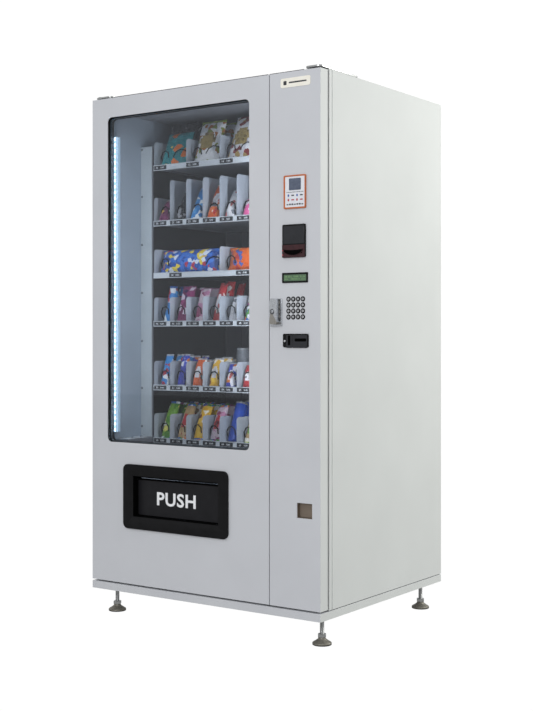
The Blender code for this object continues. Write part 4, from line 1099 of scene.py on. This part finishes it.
def make_coin_fittings():
    front = span("coin_acceptor")[1][0]
    refined("coin_acceptor", "coin_acceptor_moulded", [textured_black], 0.9 * MM, segments=3)
    # The slot rims here and the slot shade below take the near-black of painted shade, which darkens the
    # slots.
    made = bmesh.new()
    inner = rounded((0.9025, 0.9055), (1.0205, 1.0485), 0.0012, 3)
    outer = rounded((0.8995, 0.9085), (1.0175, 1.0515), 0.0032, 3)
    band(made, outer, inner, (front - 0.0014, front))
    slit_in = rounded((0.9305, 0.9695), (1.0348, 1.0372), 0.0010, 3)
    slit_out = rounded((0.9265, 0.9735), (1.0308, 1.0412), 0.0035, 3)
    band(made, slit_out, slit_in, (front - 0.0009, front))
    piece("coin_slot_rims", made, "payment_door", [painted_shade_black], 0.3 * MM)
    made = bmesh.new()
    depths = (front - 0.0005, front + 0.0006)
    band(made, rounded((0.8915, 0.9170), (1.0095, 1.0530), 0.0030, 3), outer, depths)
    band(made, rounded((0.9174, 0.9765), (1.0095, 1.0530), 0.0030, 3), slit_out, depths)
    piece("coin_face_panel", made, "payment_door", [gloss_black], 0.2 * MM)
    made = bmesh.new()
    slab(made, (0.9021, 0.9059), (front - 0.0002, front + 0.0012), (1.0201, 1.0489))
    slab(made, (0.9301, 0.9699), (front - 0.0002, front + 0.0012), (1.0346, 1.0374))
    piece("coin_slot_shade", made, "payment_door", [painted_shade_black], 0.1 * MM)
    across, back, up = span("coin_return_button")
    radius = (across[1] - across[0]) / 2
    made = bmesh.new()
    centre = place(middle(across), 0.0, middle(up))
    base, top = -back[1], -back[0]
    lathe(made, [(base, 0.0), (base, radius), (top - 0.0010, radius), (top - 0.0003, radius * 0.85),
                 (top, radius * 0.5), (top, 0.0)], centre, (0, -1, 0), 24)
    obj = piece("coin_return_button_cap", made, "coin_button", [brushed_key], smooth=50)
    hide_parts("coin_return_button")
    refined("coin_return_cup", "coin_return_cup_pressed", [warm_steel], 0.5 * MM)
    refined("coin_return_flap", "coin_return_flap_pressed", [warm_steel], 0.4 * MM)


def make_lock():
    refined("lock_housing", "lock_housing_cast", [satin_chrome], 1.0 * MM, segments=3)
    face = -0.0045
    made = bmesh.new()
    prism(made, rounded((0.8535, 0.8690), (1.1000, 1.1745), 0.0020), (face - 0.0009, face + 0.0006))
    piece("lock_dark_strip", made, "payment_door", [print_dark], 0.2 * MM)
    made = bmesh.new()
    for height in (1.1635, 1.1480, 1.1325, 1.1165):
        outer = oval(0.8612, height, 0.0058, 0.0066, 20)
        inner = oval(0.8612, height, 0.0036, 0.0044, 20)
        band(made, outer, inner, (face - 0.0017, face - 0.0008))
    piece("lock_strip_ovals", made, "payment_door", [handle_grey], 0.2 * MM)
    top = -span("lock_handle")[1][0]
    refined("lock_handle", "lock_handle_cast", [satin_chrome, handle_grey], 1.6 * MM,
            lambda spot, normal: 1 if spot[2] < 1.1165 else 0, segments=3)
    made = bmesh.new()
    centre = place(0.846, 0.0, 1.132)
    lathe(made, [(top - 0.002, 0.0), (top - 0.002, 0.0086), (top + 0.0006, 0.0086), (top + 0.0012, 0.0078),
                 (top + 0.0012, 0.0062), (top + 0.0004, 0.0058), (top + 0.0004, 0.0)], centre, (0, -1, 0), 32)
    piece("lock_key_barrel", made, "door_handle", [print_dark], smooth=50)
    made = bmesh.new()
    lathe(made, [(top - 0.001, 0.0), (top - 0.001, 0.0054), (top + 0.0009, 0.0054), (top + 0.0012, 0.0048),
                 (top + 0.0012, 0.0)], centre, (0, -1, 0), 28)
    piece("lock_key_plug", made, "door_handle", [satin_chrome], smooth=50)
    # The keyway is a near-black slab: painted shade of the slot.
    made = bmesh.new()
    slab(made, (0.8454, 0.8466), (-top - 0.0014, -top - 0.0009), (1.1288, 1.1352))
    piece("lock_keyway", made, "door_handle", [painted_shade_black], smooth=30)


make_payment_door()


# ---------------------------------------------------------------- trays and spirals
def tray_measures(name):
    """A tray's reach across and back, its rail's foot and top, its floor and its lane pitch."""
    across, back, up = span(name)
    low = up[0]
    rail_top = low + RAIL_HEIGHT
    return across, back, low, rail_top, rail_top - RAIL_OVER_FLOOR, (across[1] - across[0] - SHEET) / LANES


def make_tray(number):
    name = "tray_%d" % number
    body = name + "_body"
    across, back, low, rail_top, floor, pitch = tray_measures(name)
    joined = JOINED.get(name, 1)
    made = bmesh.new()
    slab(made, across, (back[0] + 0.0035, back[1] - 0.0005), (floor - SHEET, floor))
    slab(made, across, (back[1] - 0.0025, back[1]), (floor - SHEET, floor + 0.075))
    front, rear = back[0] + 0.0042, back[1] - 0.0027
    for index in range(LANES, -1, -joined):
        start = across[0] + pitch * index
        height = TALL_DIVIDER.get(name, LOW_DIVIDER) if index else LOW_DIVIDER
        height = END_LIP if index == LANES else height
        radius = min(0.014, height * 0.4)
        outline = [(front, floor + 0.0001), (rear, floor + 0.0001), (rear, floor + height)]
        for k in range(7):
            angle = math.radians(90 + 15 * k)
            outline.append((front + radius + radius * math.cos(angle),
                            floor + height - radius + radius * math.sin(angle)))
        prism(made, outline, (start, start + SHEET), "side")
    obj = piece(name + "_folded", made, body, [tray_paint], 0.3 * MM)
    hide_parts(name)
    made = bmesh.new()
    face, inset, rear = back[0], back[0] + 0.0011, back[0] + 0.0034
    profile = [(face, low), (face, low + 0.0016), (inset, low + 0.0026), (inset, rail_top - 0.0026),
               (face, rail_top - 0.0016), (face, rail_top), (rear, rail_top), (rear, low)]
    prism(made, profile, across, "side")
    piece(name + "_price_rail", made, body, [rail_paint], 0.3 * MM)
    make_labels(number, body, across[0], inset, (low + rail_top) / 2, pitch, joined)
    make_spirals(number, body, pitch, LANES_IN_USE[joined], joined > 1)
    make_motors(number, body, floor, pitch, LANES_IN_USE[joined], across[0], back[1])


def make_labels(number, body, start, face, height, pitch, joined):
    """Black price labels along the rail, each with a lane number and a blank price."""
    plates = bmesh.new()
    for group in range(LANES // joined):
        left = start + pitch * joined * group + (pitch if joined == 4 else 0.004)
        plate = rounded((left, left + 0.061), (height - 0.0076, height + 0.0076), 0.0012, 2)
        prism(plates, plate, (face - 0.0009, face + 0.0002))
        code = "%d%d" % (number, group * joined)
        for text, tall, shift, mark in ((code, 0.0078, 0.0150, "code"), ("0.00", 0.0066, 0.0405, "price")):
            made = figures(text, tall, left + shift, height, face - 0.0011, 0.0004, 0.02, 1.1)
            name = "tray_%d_label_%d_%s" % (number, group + 1, mark)
            piece(name, made, body, [mark_pale], smooth=30)
    piece("tray_%d_labels" % number, plates, body, [label_black], smooth=30)


def make_spirals(number, body, pitch, lanes, paired):
    """The first lane's spiral is the driven one; the rest are its copies, one lane on each time,
    and where two share a wide pack the odd lanes' coils wind the other way."""
    node = "spiral_%d" % number
    repaint(node, wire_black)
    source = frame["nodes"][node].data
    axis = LEFT + middle(span(node)[0])
    made = bmesh.new()
    for lane in lanes:
        if lane == 0:
            continue
        before = len(made.verts)
        made.from_mesh(source)
        made.verts.ensure_lookup_table()
        for vert in made.verts[before:]:
            x = 2 * axis - vert.co.x if paired and lane % 2 else vert.co.x
            vert.co.x = x + pitch * lane
    bmesh.ops.remove_doubles(made, verts=made.verts, dist=1e-6)
    for face in made.faces:
        face.material_index = 0
    piece("tray_%d_spirals" % number, made, body, [wire_black], smooth=60)


def make_motors(number, body, floor, pitch, lanes, start, back):
    """A gearbox with a round motor behind each spiral."""
    made = bmesh.new()
    for lane in lanes:
        centre = start + pitch * (lane + 0.5) + LANE_SHIFT
        box = rounded((centre - 0.022, centre + 0.022), (floor + 0.010, floor + 0.062), 0.004, 3)
        prism(made, box, (back + 0.0286, back + 0.050))
        lathe(made, [(0.0, 0.0), (0.0, 0.014), (0.012, 0.013), (0.014, 0.010), (0.014, 0.0)],
              place(centre, back + 0.050, floor + 0.044), (0, 1, 0), 18)
    piece("tray_%d_motors" % number, made, body, [textured_black], 0.6 * MM)


for number in range(1, 7):
    make_tray(number)


# ---------------------------------------------------------------- goods on the trays
# Printed polypropylene film in plain made-up patterns, each as its patch size in millimetres,
# the turn of its patches, and the inks with the share where each begins.
PRINTS = {
    "teal": (26, 0.5, (0, "#1F7F86"), (0.45, "#2E979C"), (0.78, "#D9732E"), (0.9, "#D8C24A")),
    "olive": (18, 0.4, (0, "#DDE0E4"), (0.52, "#C9CDD4"), (0.68, "#7F8A3B"), (0.86, "#A4662D")),
    "brown": (20, 0.7, (0, "#DADDE2"), (0.5, "#C4C7CE"), (0.66, "#7B2B2C"), (0.86, "#A98F55")),
    "gold": (12, 0.2, (0, "#A08D58"), (0.55, "#8F7E4E"), (0.85, "#6E5F38")),
    "lime": (16, 0.2, (0, "#8FA52B"), (0.6, "#7C9426"), (0.9, "#B7C24D")),
    "night": (14, 0.3, (0, "#1E2023"), (0.7, "#2B2D31"), (0.9, "#8E9196")),
    "plum": (20, 0.9, (0, "#5C2048"), (0.5, "#73305A"), (0.74, "#C9CBC4"), (0.92, "#C8A638")),
    "sky": (18, 0.6, (0, "#2E80C4"), (0.5, "#4A9AD8"), (0.72, "#DCE3E8"), (0.9, "#A92C44")),
    "orange": (22, 0.3, (0, "#CC5A22"), (0.6, "#DB6C2A"), (0.8, "#E9E2DA"), (0.92, "#B9332B")),
    "white": (18, 0.8, (0, "#D9DADF"), (0.6, "#C5C7CE"), (0.82, "#B75A5A"), (0.93, "#6A6F78")),
    "pink": (18, 0.5, (0, "#C6588F"), (0.5, "#D774A6"), (0.8, "#E3D6DF")),
    "blue": (17, 0.2, (0, "#1C4C9C"), (0.4, "#2F6CC4"), (0.66, "#C9D3E2"), (0.8, "#A92F48"),
            (0.9, "#D8C33F")),
    "amber": (19, 0.2, (0, "#D25E1C"), (0.62, "#DE7228"), (0.76, "#B23A33"), (0.86, "#4A5FA8"),
             (0.93, "#3C8E54")),
    "magenta": (22, 0.5, (0, "#6D2250"), (0.5, "#8A3468"), (0.76, "#C9BACB"), (0.9, "#3B2A55")),
    "rose": (20, 0.7, (0, "#C9B9C4"), (0.5, "#B77FA0"), (0.8, "#8D3F63")),
    "red": (20, 0.4, (0, "#A52A30"), (0.6, "#B9383C"), (0.82, "#DAD2CF"), (0.93, "#5A1C22")),
    "navy": (18, 0.4, (0, "#2D3A9C"), (0.6, "#3B49B2"), (0.82, "#D7D9E2"), (0.93, "#C2702F")),
    "yellow": (20, 0.4, (0, "#D9A92A"), (0.55, "#E2B93C"), (0.78, "#E7E3D8"), (0.92, "#7B3A22")),
    "green": (22, 0.5, (0, "#4B7F2C"), (0.5, "#6A963A"), (0.76, "#D9D36B"), (0.92, "#E2E4DF")),
    "tan": (20, 0.5, (0, "#A48A63"), (0.5, "#B79D75"), (0.74, "#E0DDD4"), (0.9, "#8C2F2B")),
    "mixed": (18, 0.5, (0, "#2B5FA8"), (0.35, "#C9CFD6"), (0.55, "#4E8A3E"), (0.75, "#C76B2E"),
             (0.9, "#7A2C66")),
    "silver": (12, 0.5, (0, "#9A9DA3"), (0.6, "#B5B8BD"), (0.9, "#5B5E64")),
}
films = {name: printed_film("film_" + name, inks, patch_mm, turn)
         for name, (patch_mm, turn, *inks) in PRINTS.items()}
# Moulded drink bottles and drawn cans.
bottle_blue = finish("moulded_blue_cap", ("#234E8E", "#2B5A9E"), 10, 0.8, 0.02, (0.25, 0.35))
can_metal = finish("drawn_aluminium_can", ("#9DA1A6", "#B1B5B9"), 20, 0.8, 0.01, (0.25, 0.35), Metallic=0.8)
can_blue = finish("lacquered_blue_can", ("#2547A4", "#2F55B8"), 16, 0.8, 0.01, (0.22, 0.32), Metallic=0.2)
can_grey = finish("lacquered_grey_can", ("#5E6369", "#6C7177"), 16, 0.8, 0.01, (0.25, 0.35), Metallic=0.3)


def pillow(made, spot, wide, tall, deep, lean, twist, seed, badge):
    """A filled film pack: two skins that meet in flat crimped fins at top and bottom."""
    random.seed(seed)
    phase = [random.uniform(0, 6.28) for _ in range(3)]
    columns, rows, fin = 12, 16, 0.08
    turn = Matrix.Rotation(math.radians(twist), 3, "Z") @ Matrix.Rotation(math.radians(lean), 3, "X")
    skins = []
    for side in (-1, 1):
        skin = []
        for row in range(rows + 1):
            v = 2 * row / rows - 1
            line = []
            for column in range(columns + 1):
                u = 2 * column / columns - 1
                rim = column in (0, columns) or row in (0, rows)
                if rim and side == 1:
                    line.append(skins[0][row][column])
                    continue
                full = max(0.0, 1 - abs(u) ** 3) ** 0.5 * max(0.0, 1 - (abs(v) / (1 - fin)) ** 2.6) ** 0.55
                wrinkle = (math.sin(7 * u + 5 * v + phase[0]) * 0.05
                           + math.sin(15 * u + phase[1]) * 0.10 * abs(v) ** 2)
                thick = 0.0 if rim else 0.0004 + deep / 2 * full * (1 + wrinkle)
                reach = wide / 2 * (1 - 0.07 * (1 - v * v)) * (1 + 0.015 * math.sin(6 * v + phase[2]))
                point = Vector((u * reach, side * thick, (v + 1) / 2 * tall))
                line.append(made.verts.new(spot + turn @ point))
            skin.append(line)
        skins.append(skin)
    for skin in skins:
        for row in range(rows):
            for column in range(columns):
                u = 2 * (column + 0.5) / columns - 1
                v = 2 * (row + 0.5) / rows - 1
                corners = (skin[row][column], skin[row][column + 1],
                           skin[row + 1][column + 1], skin[row + 1][column])
                face = made.faces.new(corners)
                inside = (u / 0.62) ** 2 + ((v + 0.02) / 0.42) ** 2 < 1
                face.material_index = 1 if badge and inside else (2 if abs(v) > 0.9 else 0)


# For each tray, the packs from left to right: lane, shift across, width, height, depth, film,
# and where they differ the films of the badge and of the edges.
GOODS = {
    1: ((0.5, -0.008, 0.128, 0.150, 0.040, "teal"),
        (2.5, -0.008, 0.122, 0.180, 0.038, "olive", "gold", "lime"),
        (4.5, -0.008, 0.124, 0.186, 0.038, "brown", "gold", "brown"),
        (6.5, -0.004, 0.124, 0.160, 0.038, "amber")),
    2: ((0, -0.003, 0.056, 0.106, 0.026, "plum"), (1, -0.001, 0.044, 0.134, 0.020, "night"),
        (2, -0.005, 0.054, 0.148, 0.026, "sky"),
        (3, -0.003, 0.056, 0.156, 0.028, "orange", "white", "orange"),
        (4, -0.003, 0.048, 0.122, 0.024, "white"), (5, 0.004, 0.050, 0.078, 0.026, "pink"),
        (6, -0.004, 0.056, 0.120, 0.026, "sky"), (7, -0.004, 0.056, 0.120, 0.026, "green")),
    3: ((1.5, -0.006, 0.300, 0.098, 0.046, "blue"), (5.5, -0.006, 0.288, 0.096, 0.046, "amber")),
    4: ((0, 0.002, 0.040, 0.074, 0.020, "sky"), (1, 0.000, 0.062, 0.152, 0.028, "magenta"),
        (2, 0.000, 0.046, 0.140, 0.026, "rose"), (3, 0.000, 0.036, 0.160, 0.024, "red", "white"),
        (4, -0.004, 0.036, 0.100, 0.022, "white"), (5, 0.000, 0.052, 0.140, 0.028, "mixed"),
        (6, 0.000, 0.056, 0.120, 0.028, "magenta"), (7, 0.000, 0.056, 0.130, 0.028, "green")),
    5: ((0, -0.004, 0.036, 0.132, 0.020, "sky", None, "silver"),
        (1, -0.004, 0.036, 0.134, 0.020, "navy", None, "silver"),
        (2, -0.004, 0.048, 0.116, 0.026, "orange", "white", "silver"),
        (3, -0.004, 0.048, 0.118, 0.026, "yellow", "white", "silver"),
        (4, -0.006, 0.044, 0.100, 0.024, "navy", "white", "silver"),
        (5, -0.004, 0.050, 0.092, 0.028, "red", "white"), (6, -0.004, 0.054, 0.120, 0.030, "yellow"),
        (7, -0.004, 0.054, 0.120, 0.026, "sky")),
    6: ((0, -0.006, 0.048, 0.156, 0.030, "green", None, "mixed"),
        (1, -0.006, 0.046, 0.150, 0.030, "tan", "red", "mixed"),
        (2, -0.006, 0.048, 0.152, 0.030, "yellow", None, "mixed"),
        (3, -0.006, 0.048, 0.148, 0.030, "rose", "red", "mixed"),
        (5, -0.002, 0.056, 0.112, 0.030, "tan", "green", "green"),
        (6, -0.004, 0.056, 0.130, 0.030, "green"), (7, -0.004, 0.056, 0.130, 0.030, "red")),
}
# Bottles and cans: name, tray, lane, shift across, how far behind the first packs, then the radius,
# shoulder, top and neck, and the materials of the body and of the cap or end.
ROUND_GOODS = (
    ("tray_4_bottle", 4, 0, 0.002, 0.040, (0.0235, 0.104, 0.1435, 0.0150), (films["sky"], bottle_blue)),
    ("tray_5_can_grey", 5, 4, 0.002, 0.078, (0.0285, 0.145, 0.151, 0.0260), (can_grey, can_metal)),
    ("tray_6_can_blue", 6, 4, -0.006, 0.016, (0.0240, 0.150, 0.157, 0.0235), (can_blue, can_metal)),
)
# For each tray: how far behind its front edge the first packs stand, and their lean in degrees.
STANCE = {1: (0.031, 21), 2: (0.014, 28), 3: (0.026, 15), 4: (0.034, 18), 5: (0.024, 19), 6: (0.033, 25)}
# Packs stand one behind another, this far apart and this high over the tray's floor.
PACKS_DEEP = 3
ROUNDS_DEEP = 2
PACK_PITCH = 0.058
OVER_FLOOR = 0.0006
# Behind the first pack of the top tray stand taller black ones, nearly upright.
TALL_BLACK_HEIGHT = 0.180
TALL_BLACK_LEAN = -6
# The can that has tipped back in the lowest tray, in degrees.
TIPPED_CAN = 20


def stand_packs():
    for number, goods in GOODS.items():
        name = "tray_%d" % number
        across, back, _, _, floor, pitch = tray_measures(name)
        offset, lean = STANCE[number]
        for count, (lane, shift, wide, tall, deep, ground, *others) in enumerate(goods):
            badge, edge = (others + [None, None])[:2]
            for rank in range(PACKS_DEEP):
                made = bmesh.new()
                seed = 100 * number + 10 * count + rank
                random.seed(seed)
                height = tall * (1 if rank == 0 else random.uniform(0.94, 1.04))
                tilt = -lean + random.uniform(-2, 2)
                layers = [films[ground], films[badge or ground], films[edge or ground]]
                if number == 1 and count == 0 and rank:
                    height, tilt, layers = TALL_BLACK_HEIGHT, TALL_BLACK_LEAN, [films["night"]] * 3
                spot = place(across[0] + pitch * (lane + 0.5) + shift + LANE_SHIFT,
                             back[0] + offset + PACK_PITCH * rank, floor + OVER_FLOOR)
                pillow(made, spot, wide, height, deep, tilt, random.uniform(-5, 5), seed, badge)
                title = "%s_goods_%d_%d" % (name, count + 1, rank + 1)
                piece(title, made, name + "_body", layers, smooth=80)


def stand_rounds():
    for title, number, lane, shift, behind, (radius, shoulder, top, neck), materials in ROUND_GOODS:
        across, back, _, _, floor, pitch = tray_measures("tray_%d" % number)
        rim = top - 0.008
        body = [(0.0, 0.0), (0.0, radius * 0.82), (0.004, radius * 0.97), (0.008, radius),
                (shoulder - 0.012, radius), (shoulder, radius * 0.9), (rim, neck)]
        cap = [(rim, neck), (top - 0.007, neck * 1.04), (top - 0.001, neck * 1.04), (top, neck),
               (top, neck * 0.8), (top - 0.002, neck * 0.72), (top - 0.002, 0.0)]
        for rank in range(ROUNDS_DEEP):
            made = bmesh.new()
            centre = place(across[0] + pitch * (lane + 0.5) + shift,
                           back[0] + STANCE[number][0] + behind + PACK_PITCH * rank, floor + OVER_FLOOR)
            lathe(made, body, centre, steps=28)
            lathe(made, cap, centre, steps=28, material=1)
            bmesh.ops.remove_doubles(made, verts=made.verts, dist=1e-6)
            if number == 6:
                tip = Matrix.Rotation(math.radians(-TIPPED_CAN), 3, "X")
                bmesh.ops.rotate(made, cent=centre, matrix=tip, verts=made.verts)
            piece("%s_%d" % (title, rank + 1), made, "tray_%d_body" % number,
                  list(materials), smooth=50)


stand_packs()
stand_rounds()
